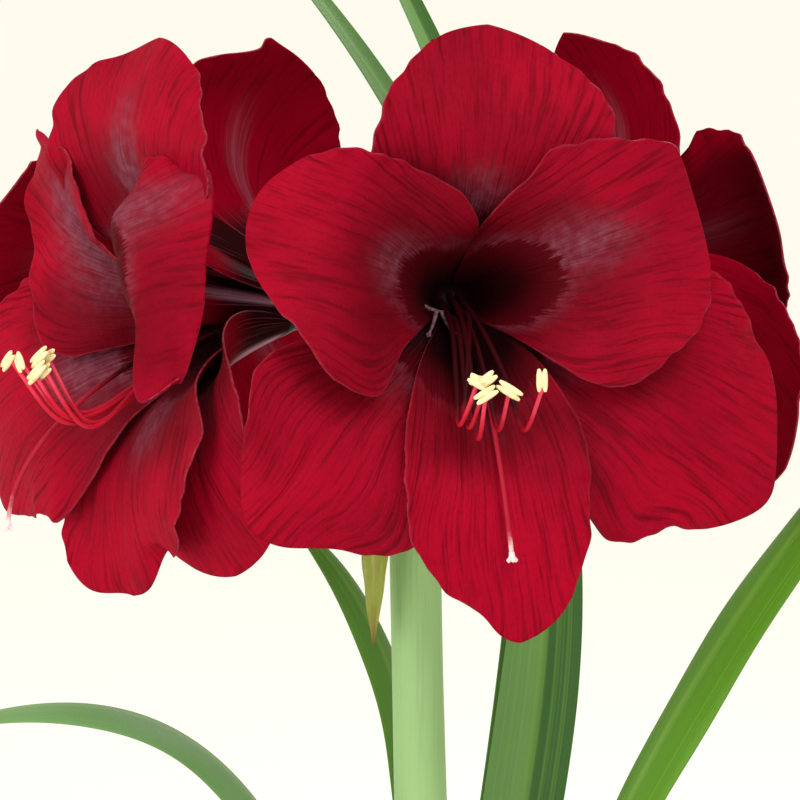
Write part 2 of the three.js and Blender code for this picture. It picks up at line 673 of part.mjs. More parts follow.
// Each path is a cubic curve; "faces" is the direction of the blade's width in the neck, and from
// the share "tapers" of its length on it closes to a tip as blunt as "blunt" says
const LEAVES = {
  leaf_low_left: {
    path: [[-19.6, 0, 174], [-24, -2, 340], [-60, -10, 486], [-190, -30, 446]],
    faces: 90, twist: 0, foot: 11, half: 19, tapers: 0.62, blunt: 1.9, channel: 5, rows: 14,
  },
  leaf_high_left: {
    path: [[-14.4, 0, 174], [-22, 28, 290], [26, 52, 427], [-55, 40, 511]],
    faces: 90, twist: -40, foot: 10, half: 12, tapers: 0.62, blunt: 1.9, channel: 3, rows: 12,
  },
  leaf_right: {
    path: [[18.4, 0, 174], [22, 4, 300], [70, 14, 430], [182, 30, 560]],
    faces: 270, twist: 30, foot: 11, half: 19, tapers: 0.62, blunt: 1.9, channel: 4, rows: 14,
  },
  leaf_upright: {
    path: [[2, 15.8, 174], [6, 30, 380], [136, 250, 480], [-56, 205, 800]],
    faces: 180, twist: 62, foot: 11, half: 18, tapers: 0.4, blunt: 1.2, channel: 3, rows: 16,
  },
  leaf_back_left: {
    path: [[2, 21.4, 174], [6, 54, 380], [150, 300, 500], [-104, 235, 780]],
    faces: 180, twist: 66, foot: 11, half: 18, tapers: 0.4, blunt: 1.2, channel: 3, rows: 16,
  },
};

const part = new THREE.Group();
part.name = "potted_amaryllis";
part.add(named("pot", pot(), "clay"));
part.add(named("soil", soil(), "soil"));
part.add(named("bulb", bulb([scapeSocket(), ...Object.values(LEAVES).map(leafSocket)]), "tunic"));
part.add(named("scape", scape(Object.values(BLOOMS)), "stem"));
for (const [name, leaf] of Object.entries(LEAVES)) {
  part.add(named(name, leafBlade(leaf), "leaf"));
}
for (const [name, spec] of Object.entries(BRACTS)) {
  part.add(named(`bract_${name}`, bract(spec), "bract"));
}
for (const [name, bloom] of Object.entries(BLOOMS)) {
  part.add(named(`perianth_${name}`, perianth(bloom), "petal"));
  part.add(named(`stamens_${name}`, stamens(bloom), "stamen"));
}

export default part;
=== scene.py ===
import math

import bpy
import numpy as np
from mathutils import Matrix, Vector


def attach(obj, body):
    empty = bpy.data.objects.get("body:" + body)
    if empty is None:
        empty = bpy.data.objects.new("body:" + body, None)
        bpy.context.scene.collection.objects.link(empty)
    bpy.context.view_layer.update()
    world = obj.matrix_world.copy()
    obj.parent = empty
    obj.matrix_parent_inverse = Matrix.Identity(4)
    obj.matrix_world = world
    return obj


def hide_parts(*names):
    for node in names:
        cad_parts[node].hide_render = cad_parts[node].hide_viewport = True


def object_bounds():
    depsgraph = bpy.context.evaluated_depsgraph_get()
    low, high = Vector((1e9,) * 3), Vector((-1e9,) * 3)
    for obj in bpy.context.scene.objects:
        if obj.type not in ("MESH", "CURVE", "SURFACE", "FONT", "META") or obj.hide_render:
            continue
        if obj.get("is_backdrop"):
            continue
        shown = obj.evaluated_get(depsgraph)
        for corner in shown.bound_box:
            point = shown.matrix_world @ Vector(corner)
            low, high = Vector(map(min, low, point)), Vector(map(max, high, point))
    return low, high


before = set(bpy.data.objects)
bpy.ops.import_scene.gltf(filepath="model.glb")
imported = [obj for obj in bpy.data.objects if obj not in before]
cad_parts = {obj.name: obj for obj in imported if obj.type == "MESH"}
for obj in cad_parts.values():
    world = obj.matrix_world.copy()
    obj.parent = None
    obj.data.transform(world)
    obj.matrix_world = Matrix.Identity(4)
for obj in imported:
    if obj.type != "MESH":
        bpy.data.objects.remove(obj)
cad_low, cad_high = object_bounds()
bpy.ops.object.select_all(action="DESELECT")

# The pot is plain unglazed terracotta, turned on a wheel, with a thick rolled rim and four drain
# holes in its foot. Fine turning rings run round its wall, and lime has bloomed through the clay
# near the foot and under the rim.
MM = 0.001
POT_HEIGHT = 130
POT_FOOT = 56
POT_WALL_TOP = 74
POT_RIM = 80
POT_RIM_DEPTH = 30
POT_WALL = 6
POT_FLOOR = 8
POT_SIDES = 128
POT_ROUNDING = 1.6
DRAIN_RADIUS = 5
DRAIN_RING = 30
DRAIN_CUT = 20
CLAY = (0.46, 0.135, 0.052, 1)
CLAY_DARK = (0.30, 0.078, 0.030, 1)
LIME = (0.66, 0.50, 0.38, 1)


def smooth(x):
    x = np.clip(x, 0, 1)
    return x * x * (3 - 2 * x)


def lerp(a, b, t):
    return a + (b - a) * t


def thrown(name, radius, height, steps, sides):
    """Draws a disc up into a turned form, one extrusion for each radius and height, in mm."""
    bpy.ops.mesh.primitive_circle_add(vertices=sides, radius=radius * MM, fill_type="NGON",
                                      location=(0, 0, height * MM))
    piece = bpy.context.object
    piece.name = piece.data.name = name
    bpy.ops.object.transform_apply(location=True)
    bpy.ops.object.mode_set(mode="EDIT")
    bpy.ops.mesh.select_all(action="SELECT")
    for next_radius, next_height in steps:
        rise = (0, 0, (next_height - height) * MM)
        bpy.ops.mesh.extrude_region_move(TRANSFORM_OT_translate={"value": rise})
        grow = next_radius / radius
        bpy.ops.transform.resize(value=(grow, grow, 1), center_override=(0, 0, 0))
        radius, height = next_radius, next_height
    bpy.ops.mesh.select_all(action="SELECT")
    bpy.ops.mesh.normals_make_consistent(inside=False)
    bpy.ops.object.mode_set(mode="OBJECT")
    bpy.ops.object.shade_smooth()
    return piece


def applied(piece, kind, **settings):
    """Puts a modifier on a piece and applies it."""
    bpy.context.view_layer.objects.active = piece
    modifier = piece.modifiers.new(kind.lower(), kind)
    for key, value in settings.items():
        setattr(modifier, key, value)
    bpy.ops.object.modifier_apply(modifier=modifier.name)


class Wire:
    """A shader socket that adds, multiplies and mixes like a number, one node for each step."""

    def __init__(self, tree, socket):
        self.tree = tree
        self.socket = socket

    def node(self, kind, settings, sockets, out=0):
        made = self.tree.nodes.new("ShaderNode" + kind)
        for name, value in settings.items():
            setattr(made, name, value)
        for key, value in sockets.items():
            if isinstance(value, Wire):
                self.tree.links.new(value.socket, made.inputs[key])
            else:
                made.inputs[key].default_value = value
        return Wire(self.tree, made.outputs[out])

    def math(self, operation, a, b=0.0):
        return self.node("Math", {"operation": operation}, {0: a, 1: b})

    def __add__(self, other):
        return self.math("ADD", self, other)

    def __sub__(self, other):
        return self.math("SUBTRACT", self, other)

    def __rsub__(self, other):
        return self.math("SUBTRACT", other, self)

    def __mul__(self, other):
        return self.math("MULTIPLY", self, other)

    __radd__ = __add__
    __rmul__ = __mul__

    def ease(self, low, high):
        """0 below low, 1 above high and a smooth step between them."""
        settings = {"interpolation_type": "SMOOTHSTEP"}
        return self.node("MapRange", settings, {0: self, 1: low, 2: high, 3: 0.0, 4: 1.0})

    def mix(self, low, high):
        """The colour low where this is 0 and the colour high where it is 1."""
        return self.node("Mix", {"data_type": "RGBA"}, {0: self, 6: low, 7: high}, out=2)

    def stretch(self, x, y, z):
        return self.node("VectorMath", {"operation": "MULTIPLY"}, {0: self, 1: (x, y, z)})

    def noise(self, scale, detail=3.0, rough=0.5):
        return self.node("TexNoise", {}, {"Vector": self, "Scale": scale, "Detail": detail,
                                          "Roughness": rough})

    def part(self, axis):
        return self.node("SeparateXYZ", {}, {0: self}, out=axis)

    def attribute(self, name, out=2):
        """A mesh attribute, as a number or, from output 1, as a vector."""
        return self.node("Attribute", {"attribute_name": name}, {}, out)

    def moved(self, by):
        """The same vector, moved along its first axis."""
        step = self.node("CombineXYZ", {}, {0: by})
        return self.node("VectorMath", {"operation": "ADD"}, {0: self, 1: step})


def finish(name, paint, relief_depth, glow=None, **fixed):
    """A material. paint gets object and grid coordinates and gives colour, roughness, relief and,
    where there is one, a clear coat; glow is the share and the colour of light let through."""
    made = bpy.data.materials.new(name)
    made.use_nodes = True
    tree = made.node_tree
    tree.nodes.clear()
    coords = tree.nodes.new("ShaderNodeTexCoord")
    place, grid = Wire(tree, coords.outputs["Object"]), Wire(tree, coords.outputs["UV"])
    colour, roughness, relief, *coat = paint(place, grid)
    bump = place.node("Bump", {}, {"Height": relief, "Distance": relief_depth * MM})
    sockets = {key.replace("_", " ").title().replace("Ior", "IOR"): value
               for key, value in fixed.items()}
    if coat:
        sockets["Coat Weight"] = coat[0]
    shader = place.node("BsdfPrincipled", {}, {
        "Base Color": colour, "Roughness": roughness, "Normal": bump, **sockets})
    if glow:
        share, tint = glow
        through = place.node("BsdfTranslucent", {}, {"Color": tint, "Normal": bump})
        shader = place.node("MixShader", {}, {0: share, 1: shader, 2: through})
    output = tree.nodes.new("ShaderNodeOutputMaterial")
    tree.links.new(shader.socket, output.inputs["Surface"])
    return made


def terracotta(place, grid):
    height = place.part(2)
    mottle = place.noise(24, 5)
    rings = place.stretch(0.5, 0.5, 40).noise(9, 2)
    low = 1 - height.ease(0.004, 0.034)
    under_rim = height.ease(0.082, 0.099) * (1 - height.ease(0.099, 0.108))
    bloom = (low + under_rim * 0.7) * place.noise(38, 6, 0.7).ease(0.46, 0.66)
    specks = place.noise(900, 1).ease(0.66, 0.72)
    clay = (mottle * 0.7 + rings * 0.3).ease(0.34, 0.66).mix(CLAY_DARK, CLAY)
    colour = (bloom * 0.75).mix((specks * 0.5).mix(clay, CLAY_DARK), LIME)
    return colour, 0.78 + mottle * 0.2, rings * 0.6 + place.noise(520, 3) * 0.4


def pot_inner(height):
    share = (height - POT_FLOOR) / (POT_HEIGHT - POT_FLOOR)
    return lerp(POT_FOOT, POT_WALL_TOP, share) - POT_WALL


rim_foot = POT_HEIGHT - POT_RIM_DEPTH
pot = thrown("terracotta_pot", POT_FOOT, 0, [
    (lerp(POT_FOOT, POT_WALL_TOP, rim_foot / POT_HEIGHT), rim_foot), (POT_RIM - 2, rim_foot + 1),
    (POT_RIM, POT_HEIGHT - 4), (POT_RIM, POT_HEIGHT), (pot_inner(POT_HEIGHT), POT_HEIGHT),
    (pot_inner(POT_FLOOR), POT_FLOOR)], POT_SIDES)
applied(pot, "BEVEL", width=POT_ROUNDING * MM, segments=4, limit_method="ANGLE",
        angle_limit=math.radians(40))
for k in range(4):
    turn = math.pi * (k + 0.5) / 2
    spot = (DRAIN_RING * MM * math.cos(turn), DRAIN_RING * MM * math.sin(turn), POT_FLOOR / 2 * MM)
    bpy.ops.mesh.primitive_cylinder_add(vertices=32, radius=DRAIN_RADIUS * MM,
                                        depth=DRAIN_CUT * MM, location=spot)
    drain = bpy.context.object
    applied(pot, "BOOLEAN", operation="DIFFERENCE", object=drain)
    bpy.data.objects.remove(drain)
bpy.ops.object.select_all(action="DESELECT")
pot.select_set(True)
bpy.context.view_layer.objects.active = pot
bpy.ops.object.shade_smooth_by_angle(angle=math.radians(35))
pot.data.materials.append(finish("terracotta", terracotta, 0.35, specular_ior_level=0.3))
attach(pot, "root")
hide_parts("pot")

# Potting soil fills the pot to a finger under its rim and banks up to the bulb: dark peat in
# crumbs, with bits of bark and a few white grains of perlite on top.
SOIL_TOP = 112
SOIL_GAP = 0.3
SOIL_SIDES = 240
BULB_RADIUS = 48
CRUMBS = ((0.014, 2.6), (0.0045, 1.8), (0.0016, 0.9))
CHIP_KINDS = ((0.6, 0.45, 0), (0.45, 0.4, 0), (0.8, 0.5, 0), (1, 0.9, 1))
CHIP_COUNT = 150
PEAT = (0.030, 0.017, 0.010, 1)
PEAT_LIGHT = (0.085, 0.052, 0.030, 1)
BARK = (0.12, 0.060, 0.028, 1)
PERLITE = (0.72, 0.70, 0.64, 1)
rng = np.random.default_rng(7)


def peat(place, grid):
    clump = place.noise(160, 6, 0.7)
    fibre = place.stretch(1, 3, 1).noise(420, 3)
    colour = clump.ease(0.4, 0.7).mix(PEAT, PEAT_LIGHT)
    colour = (fibre.ease(0.62, 0.7) * 0.6).mix(colour, BARK)
    return colour, 0.9 + clump * 0.1, clump * 0.7 + fibre * 0.3


def marked(piece, label, values, kind="FLOAT"):
    """Gives each vertex a number or a vector for the material to read."""
    field = piece.data.attributes.new(label, kind, "POINT")
    field.data.foreach_set("value" if kind == "FLOAT" else "vector",
                           np.asarray(values, np.float32).ravel())


soil_steps = [(pot_inner(SOIL_TOP - 3) - SOIL_GAP, SOIL_TOP - 3)]
for reach in np.linspace(pot_inner(SOIL_TOP) - 2, BULB_RADIUS - 4, 26):
    bank = 2.5 * smooth((BULB_RADIUS + 9 - reach) / 10) - 1.2
    soil_steps.append((reach, SOIL_TOP + bank))
soil_steps.append((BULB_RADIUS - 8, SOIL_TOP - 4))
soil = thrown("potting_soil", pot_inner(POT_FLOOR) - SOIL_GAP, POT_FLOOR + SOIL_GAP, soil_steps,
              SOIL_SIDES)
surface = soil.vertex_groups.new(name="surface")
surface.add([v.index for v in soil.data.vertices if v.co.z > (SOIL_TOP - 2) * MM], 1, "REPLACE")
for size, height in CRUMBS:
    crumbs = bpy.data.textures.new("crumbs", "CLOUDS")
    crumbs.noise_scale = size
    applied(soil, "DISPLACE", texture=crumbs, texture_coords="GLOBAL", direction="Z",
            mid_level=0.5, strength=height * MM, vertex_group="surface")
soil.data.materials.append(finish("peat", peat, 1.2, specular_ior_level=0.15))
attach(soil, "root")
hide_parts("soil")

ground = np.array([v.co for v in soil.data.vertices])
ground = ground[ground[:, 2] > (SOIL_TOP - 2) * MM]
kinds = []
for k, (width, depth, white) in enumerate(CHIP_KINDS):
    bpy.ops.mesh.primitive_ico_sphere_add(subdivisions=2, radius=MM)
    kind = bpy.context.object
    bpy.ops.object.mode_set(mode="EDIT")
    bpy.ops.transform.resize(value=(1, width, depth), center_override=(0, 0, 0))
    bpy.ops.transform.vertex_random(offset=0.16 * MM, uniform=0.4, seed=k + 1)
    bpy.ops.object.mode_set(mode="OBJECT")
    marked(kind, "perlite", [white] * len(kind.data.vertices))
    kinds.append(kind)
chips = []
for k in range(CHIP_COUNT):
    turn_at = rng.uniform(0, 2 * np.pi)
    reach = rng.uniform(BULB_RADIUS + 5, pot_inner(SOIL_TOP) - 4) * MM
    white = k % 5 == 0
    spot = np.array([reach * math.cos(turn_at), reach * math.sin(turn_at)])
    chip = kinds[3 if white else k % 3].copy()
    chip.data = chip.data.copy()
    bpy.context.collection.objects.link(chip)
    chip.scale = [rng.uniform(0.9, 1.7) if white else rng.uniform(0.9, 3.0)] * 3
    chip.rotation_euler = rng.uniform(-0.5, 0.5), rng.uniform(-0.5, 0.5), rng.uniform(0, 6.3)
    chip.location = (*spot, ground[np.argmin(((ground[:, :2] - spot) ** 2).sum(1)), 2])
    chips.append(chip)
for kind in kinds:
    bpy.data.objects.remove(kind)


def joined(name, pieces):
    bpy.ops.object.select_all(action="DESELECT")
    for piece in pieces:
        piece.select_set(True)
    bpy.context.view_layer.objects.active = pieces[0]
    if len(pieces) > 1:
        bpy.ops.object.join()
    whole = bpy.context.object
    whole.name = whole.data.name = name
    return whole


def chip_paint(place, grid):
    grain = place.stretch(1, 1, 4).noise(700, 3)
    bark = grain.ease(0.35, 0.65).mix(PEAT, BARK)
    return place.attribute("perlite").mix(bark, PERLITE), 0.85 + grain * 0.1, grain


bits = joined("soil_bits", chips)
bpy.ops.object.transform_apply(location=True, rotation=True, scale=True)
bits.data.materials.append(finish("bark_and_perlite", chip_paint, 0.4))
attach(bits, "root")

# The bulb stands half out of the soil in its dry tunic: layers of brown skin, thin as paper, with
# close upright fibres, which end in torn edges round the neck that the scape and leaves come from.
BULB_FOOT = 58
NECK_TOP = 186
NECK_RADIUS = 27
BULB_SIDES = 192
SKIN_FOOT = 112
SKIN_THICKNESS = 0.3
TUNIC = (0.30, 0.13, 0.050, 1)
TUNIC_DARK = (0.11, 0.045, 0.020, 1)
TUNIC_PALE = (0.56, 0.36, 0.19, 1)
NECK_GREEN = (0.42, 0.46, 0.20, 1)
BULB_PROFILE = [(22, 0), (32, 7), (44, 26), (BULB_RADIUS, 46), (46, 68), (39, 86), (32, 101),
                (28, 114), (NECK_RADIUS, NECK_TOP - BULB_FOOT)]
# Where each loose skin starts round the bulb and how far it goes, its crest and how far it lifts
SKINS = [(0.3, 2.6, 178, 0.9), (2.2, 2.3, 169, 1.5), (4.0, 2.5, 184, 1.1),
         (1.1, 2.2, 158, 2.0), (5.2, 1.9, 164, 1.7), (3.2, 1.6, 150, 2.4)]


def bulb_swell(turn, height):
    fibres = 0.22 * np.sin(61 * turn + 0.06 * height) * np.sin(9 * turn + 0.4)
    return 0.9 * np.sin(3 * turn + 0.6) + 0.5 * np.sin(7 * turn) + fibres


def eased_profile(profile, steps):
    """A smooth outline through the given points."""
    points = np.array(profile, float)
    length = np.r_[0, np.cumsum(np.linalg.norm(np.diff(points, axis=0), axis=1))]
    slope = np.gradient(points, length, axis=0)
    out = []
    for i in range(len(points) - 1):
        span = length[i + 1] - length[i]
        for t in np.linspace(0, 1, steps, endpoint=False):
            a, b = 2 * t ** 3 - 3 * t ** 2 + 1, t ** 3 - 2 * t ** 2 + t
            c, d = 3 * t ** 2 - 2 * t ** 3, t ** 3 - t ** 2
            out.append(a * points[i] + b * span * slope[i] + c * points[i + 1] + d * span * slope[i + 1])
    return [tuple(p) for p in out] + [tuple(points[-1])]


def welded(piece):
    bpy.ops.object.mode_set(mode="EDIT")
    bpy.ops.mesh.select_all(action="SELECT")
    bpy.ops.mesh.remove_doubles(threshold=1e-6)
    bpy.ops.mesh.normals_make_consistent(inside=False)
    bpy.ops.object.mode_set(mode="OBJECT")


def laid(name, points, closed=True):
    """Adds a grid, lays it on points given in millimetres, row by row, and welds what meets."""
    rows, columns = len(points) - 1, len(points[0]) - 1
    bpy.ops.mesh.primitive_grid_add(x_subdivisions=columns, y_subdivisions=rows, size=1)
    piece = bpy.context.object
    piece.name = piece.data.name = name
    piece.data.vertices.foreach_set("co", (np.asarray(points, float) * MM).ravel())
    piece.data.update()
    if closed:
        welded(piece)
    bpy.ops.object.shade_smooth()
    return piece


def tunic(place, grid):
    height = place.part(2)
    fibres = place.stretch(1, 1, 0.08).noise(620, 4, 0.6)
    patches = place.stretch(1, 1, 0.4).noise(46, 4)
    colour = fibres.ease(0.36, 0.62).mix(TUNIC_DARK, TUNIC)
    colour = (patches.ease(0.52, 0.62) * 0.6).mix(colour, TUNIC_PALE)
    colour = (height.ease(0.163, 0.186) * patches.ease(0.35, 0.6)).mix(colour, NECK_GREEN)
    return colour, 0.5 + fibres * 0.35, fibres * 0.7 + patches * 0.6


bulb_side = [(r, BULB_FOOT + z) for r, z in eased_profile(BULB_PROFILE, 8)]
bulb = thrown("bulb_tunic", *bulb_side[0], [*bulb_side[1:], (NECK_RADIUS - 2, NECK_TOP + 0.6),
                                            (NECK_RADIUS - 9, NECK_TOP - 2)], BULB_SIDES)
for vertex in bulb.data.vertices:
    x, y, z = (c / MM for c in vertex.co)
    grow = 1 + bulb_swell(math.atan2(y, x), z) / math.hypot(x, y)
    vertex.co.x *= grow
    vertex.co.y *= grow
skins = [bulb]
for k, (start, span, top, lift) in enumerate(SKINS):
    along = np.linspace(0, 1, 40)[:, None]
    round_it = np.linspace(start, start + span, 61)[None, :]
    share = (round_it - start) / span
    ragged = 5 * np.sin(round_it * 9 + k) + 3 * np.sin(round_it * 23 + 2 * k) + 1.5 * np.sin(round_it * 57)
    crest = top + ragged - 26 * np.abs(2 * share - 1) ** 2.5
    height = SKIN_FOOT + (crest - SKIN_FOOT) * along
    radius = np.interp(height, [z for r, z in bulb_side], [r for r, z in bulb_side])
    radius = radius + bulb_swell(round_it, height) + lift * (0.25 + along) + 1.8 * along ** 8
    radius = radius + 0.3 * np.sin(round_it * 37 + k) * along
    skins.append(laid(f"skin_{k}", np.stack([radius * np.cos(round_it), radius * np.sin(round_it),
                                             height], -1), closed=False))
    applied(skins[-1], "SOLIDIFY", thickness=SKIN_THICKNESS * MM)
bulb = joined("bulb_tunic", skins)
bulb.data.materials.append(finish("tunic", tunic, 0.5, specular_ior_level=0.35))
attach(bulb, "root")
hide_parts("bulb")

# The scape is one leafless, hollow green stalk with a waxy grey bloom. At its top it parts into
# four short pedicels, and each swells into a three-lobed ovary that carries a flower.
SCAPE_BASE = (1, 0, 172.4)
SCAPE_KNEE = (-8.5, 0, 430)
UMBEL = (-10, 0, 600)
SCAPE_BASE_RADIUS = 12
SCAPE_TOP_RADIUS = 10.2
PEDICEL_REACH = 57
PEDICEL_RADIUS = 5
OVARY_RADIUS = 7.2
OVARY_LENGTH = 16
STALK_ROWS, STALK_SIDES = 90, 72
PEDICEL_ROWS, PEDICEL_SIDES = 60, 36
STEM_GREEN = (0.290, 0.510, 0.175, 1)
STEM_PALE = (0.400, 0.640, 0.270, 1)
STEM_LOW_SHADE = (0.235, 0.385, 0.150, 1)
STEM_DARK = (0.080, 0.200, 0.050, 1)
OVARY_FLUSH = (0.150, 0.060, 0.040, 1)
BLOOM_PLACES = {
    "front": {"azimuth": 9, "pitch": 11, "roll": 0, "base": (12.5, -54.3, 12)},
    "left": {"azimuth": -52, "pitch": 7, "roll": 0},
    "back": {"azimuth": -133, "pitch": 8, "roll": -8},
    "right": {"azimuth": 122, "pitch": 9, "roll": 14},
}


def bezier(points, t):
    """Points of a curve through its control polygon, by repeated halving of its edges."""
    points = [np.array(p, float) + 0 * t[..., None] for p in points]
    while len(points) > 1:
        points = [a + (b - a) * t[..., None] for a, b in zip(points, points[1:])]
    return points[0]


def even(points, share):
    """Points and directions at even shares of a curve's length."""
    t = np.linspace(0, 1, 401)
    line = bezier(points, t)
    length = np.r_[0, np.cumsum(np.linalg.norm(np.diff(line, axis=0), axis=1))]
    at = np.interp(share, length / length[-1], t)
    ahead = bezier(points, np.minimum(at + 1e-4, 1)) - bezier(points, np.minimum(at, 1 - 1e-4) - 1e-4)
    return bezier(points, at), ahead / np.linalg.norm(ahead, axis=-1, keepdims=True)


def rod(path, radii, sides, lobes=0, lobe_depth=0.0):
    """Rows of points round a path, closed at both ends, its radius given along it."""
    path = np.asarray(path, float)
    ahead = np.gradient(path, axis=0)
    ahead /= np.linalg.norm(ahead, axis=1)[:, None]
    side = np.cross(ahead[0], (0.3, 0.2, 1.0))
    turn = np.linspace(0, 2 * np.pi, sides + 1)
    depth = np.broadcast_to(lobe_depth, len(path))
    rows = []
    for centre, along, radius, deep in zip(path, ahead, radii, depth):
        side = side - along * (side @ along)
        side /= np.linalg.norm(side)
        ring = radius * (1 + deep * np.cos(lobes * turn))
        rows.append(centre + (ring * np.cos(turn))[:, None] * side
                    + (ring * np.sin(turn))[:, None] * np.cross(along, side))
    return [np.tile(path[0], (sides + 1, 1)), *rows, np.tile(path[-1], (sides + 1, 1))]


def placed(bloom):
    """Turns a bloom's own right, up and outward millimetres into the plant's."""
    azimuth, pitch, roll = np.radians([bloom["azimuth"], bloom["pitch"], bloom["roll"]])
    face = np.array([np.sin(azimuth) * np.cos(pitch), -np.cos(azimuth) * np.cos(pitch),
                     np.sin(pitch)])
    level = np.cross((0, 0, 1), face)
    level /= np.linalg.norm(level)
    upper = np.cross(face, level)
    right = level * np.cos(roll) - upper * np.sin(roll)
    up = np.cross(face, right)
    base = np.array(bloom["base"]) if "base" in bloom else face * PEDICEL_REACH
    axes = np.stack([right, up, face])
    return lambda points: np.array(UMBEL) + base + np.asarray(points, float) @ axes


def stem_paint(place, grid):
    streaks = place.stretch(1, 1, 0.03).noise(520, 4, 0.6)
    cloud = place.stretch(1, 1, 0.4).noise(22, 3)
    height = place.part(2)
    colour = cloud.ease(0.35, 0.65).mix(STEM_GREEN, STEM_PALE)
    colour = (streaks.ease(0.5, 0.72) * 0.35).mix(colour, STEM_DARK)
    colour = ((1 - height.ease(0.19, 0.27)) * 0.6).mix(colour, STEM_PALE)
    # Painted shade: the stalk's left side is painted a darker green; shade is 1 on the lit right side.
    shade = (0.012 + place.part(0)).ease(-0.013, 0.002)
    colour = ((1 - shade) * 0.5).mix(colour, STEM_GREEN)
    # Painted shade: the lower stalk is painted a darker green.
    colour = ((1 - height.ease(0.40, 0.58)) * 0.8).mix(colour, STEM_LOW_SHADE)
    return colour, 0.38 + streaks * 0.25, streaks * 0.6 + place.noise(900, 2) * 0.4


def pedicel_paint(place, grid):
    along = grid.part(1)
    streaks = grid.stretch(1, 0.1, 1).noise(60, 3)
    colour = streaks.ease(0.35, 0.7).mix(STEM_GREEN, STEM_DARK)
    return (along.ease(0.86, 0.99) * 0.85).mix(colour, OVARY_FLUSH), 0.35 + streaks * 0.2, streaks


share = np.linspace(0, 1, STALK_ROWS)
stalk_line = bezier([SCAPE_BASE, SCAPE_KNEE, UMBEL], share)
stalk_radii = lerp(SCAPE_BASE_RADIUS, SCAPE_TOP_RADIUS, np.minimum(1, 1.6 * share))
stalk_radii = stalk_radii + 0.7 * smooth((share - 0.96) / 0.04)
stalk = laid("scape_stalk", rod(stalk_line, stalk_radii, STALK_SIDES, 2, 0.035))
stalk.data.materials.append(finish("stalk_green", stem_paint, 0.12, specular_ior_level=0.22))
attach(stalk, "root")
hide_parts("scape")

stems = []
for name, bloom in BLOOM_PLACES.items():
    place = placed(bloom)
    route = [np.array(UMBEL) - (0, 0, 4), place((0, 0, -30)), place((0, 0, -0.3))]
    share = np.linspace(0, 1, PEDICEL_ROWS)
    line, _ = even(route, share)
    length = np.linalg.norm(np.diff(line, axis=0), axis=1).sum()
    from_end = (1 - share) * length / OVARY_LENGTH
    swell = np.where(from_end < 1.3, np.sin(np.pi * np.clip((from_end + 0.25) / 1.55, 0, 1)), 0)
    radii = lerp(PEDICEL_RADIUS, OVARY_RADIUS, swell)
    stems.append(laid(f"pedicel_{name}", rod(line, radii, PEDICEL_SIDES, 3, 0.07 * swell)))
stems = joined("pedicels", stems)
stems.data.materials.append(finish("pedicel_green", pedicel_paint, 0.15, specular_ior_level=0.5))
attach(stems, "root")
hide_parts("scape")

# Strap leaves grow from the bulb's neck beside the scape: thick, smooth, slightly channelled
# blades with fine veins along them, a pale midrib, a rounded tip and a soft waxy shine.
LEAF_WAXY = (0.150, 0.290, 0.105, 1)
LEAF_BRIGHT = (0.090, 0.240, 0.008, 1)
LEAF_DEEP_TONE_AND_SHADE = (0.024, 0.095, 0.010, 1)
LEAF_LIME = (0.270, 0.470, 0.060, 1)
LEAF_FOOT = (0.520, 0.560, 0.260, 1)
LEAF_ROWS, LEAF_SIDES = 120, 32
# Half widths at the foot and at the widest, where the blade tapers from and how bluntly, how deep
# its channel is, how bright its green is and how much of it has painted deep shade
BROAD_LEAF = {"foot": 11, "half": 19, "tapers": 0.62, "blunt": 1.9, "shade": 0.0}
TALL_LEAF = {"faces": 180, "foot": 11, "half": 18, "tapers": 0.4, "blunt": 1.2, "channel": 3}
LEAVES = {
    "leaf_low_left": {
        "path": [(-19.6, 0, 174), (-24, -2, 340), (-60, -10, 486), (-190, -30, 446)],
        **BROAD_LEAF, "faces": 90, "twist": 0, "channel": 5, "tone": 0.1},
    "leaf_high_left": {
        "path": [(-14.4, 0, 174), (-22, 28, 290), (26, 52, 427), (-55, 40, 511)],
        **BROAD_LEAF, "faces": 90, "twist": -40, "foot": 10, "half": 12, "channel": 3, "tone": 0.75},
    "leaf_right": {
        "path": [(18.4, 0, 174), (22, 4, 300), (70, 14, 430), (182, 30, 560)],
        **BROAD_LEAF, "faces": 270, "twist": 30, "channel": 4, "tone": 1.0},
    "leaf_upright": {
        "path": [(2, 15.8, 174), (6, 30, 380), (136, 250, 480), (-56, 205, 800)],
        **TALL_LEAF, "twist": 62, "tone": 0.35, "shade": 1.0},
    "leaf_back_left": {
        "path": [(2, 21.4, 174), (6, 54, 380), (150, 300, 500), (-104, 235, 780)],
        **TALL_LEAF, "twist": 66, "tone": 0.5, "shade": 0.3},
}


def leaf_paint(place, grid):
    along = grid.part(1)
    veins = grid.stretch(1, 0.015, 1).noise(90, 2)
    cloud = place.noise(14, 3)
    rib = place.attribute("rib")
    colour = place.attribute("tone").mix(LEAF_WAXY, LEAF_BRIGHT)
    # Painted shade: leaves in shade, and the shaded half of the upright leaf, are painted deep green; the
    # cloud adds a deeper tone at random.
    colour = (place.attribute("shade") * 0.85 + cloud * 0.2).mix(colour, LEAF_DEEP_TONE_AND_SHADE)
    colour = (veins.ease(0.45, 0.75) * 0.22).mix(colour, LEAF_LIME)
    colour = (rib * 0.3).mix(colour, LEAF_LIME)
    colour = ((1 - along.ease(0.02, 0.16)) * 0.8).mix(colour, LEAF_FOOT)
    return colour, 0.4 + veins * 0.2, veins * 0.7 + place.noise(700, 2) * 0.3


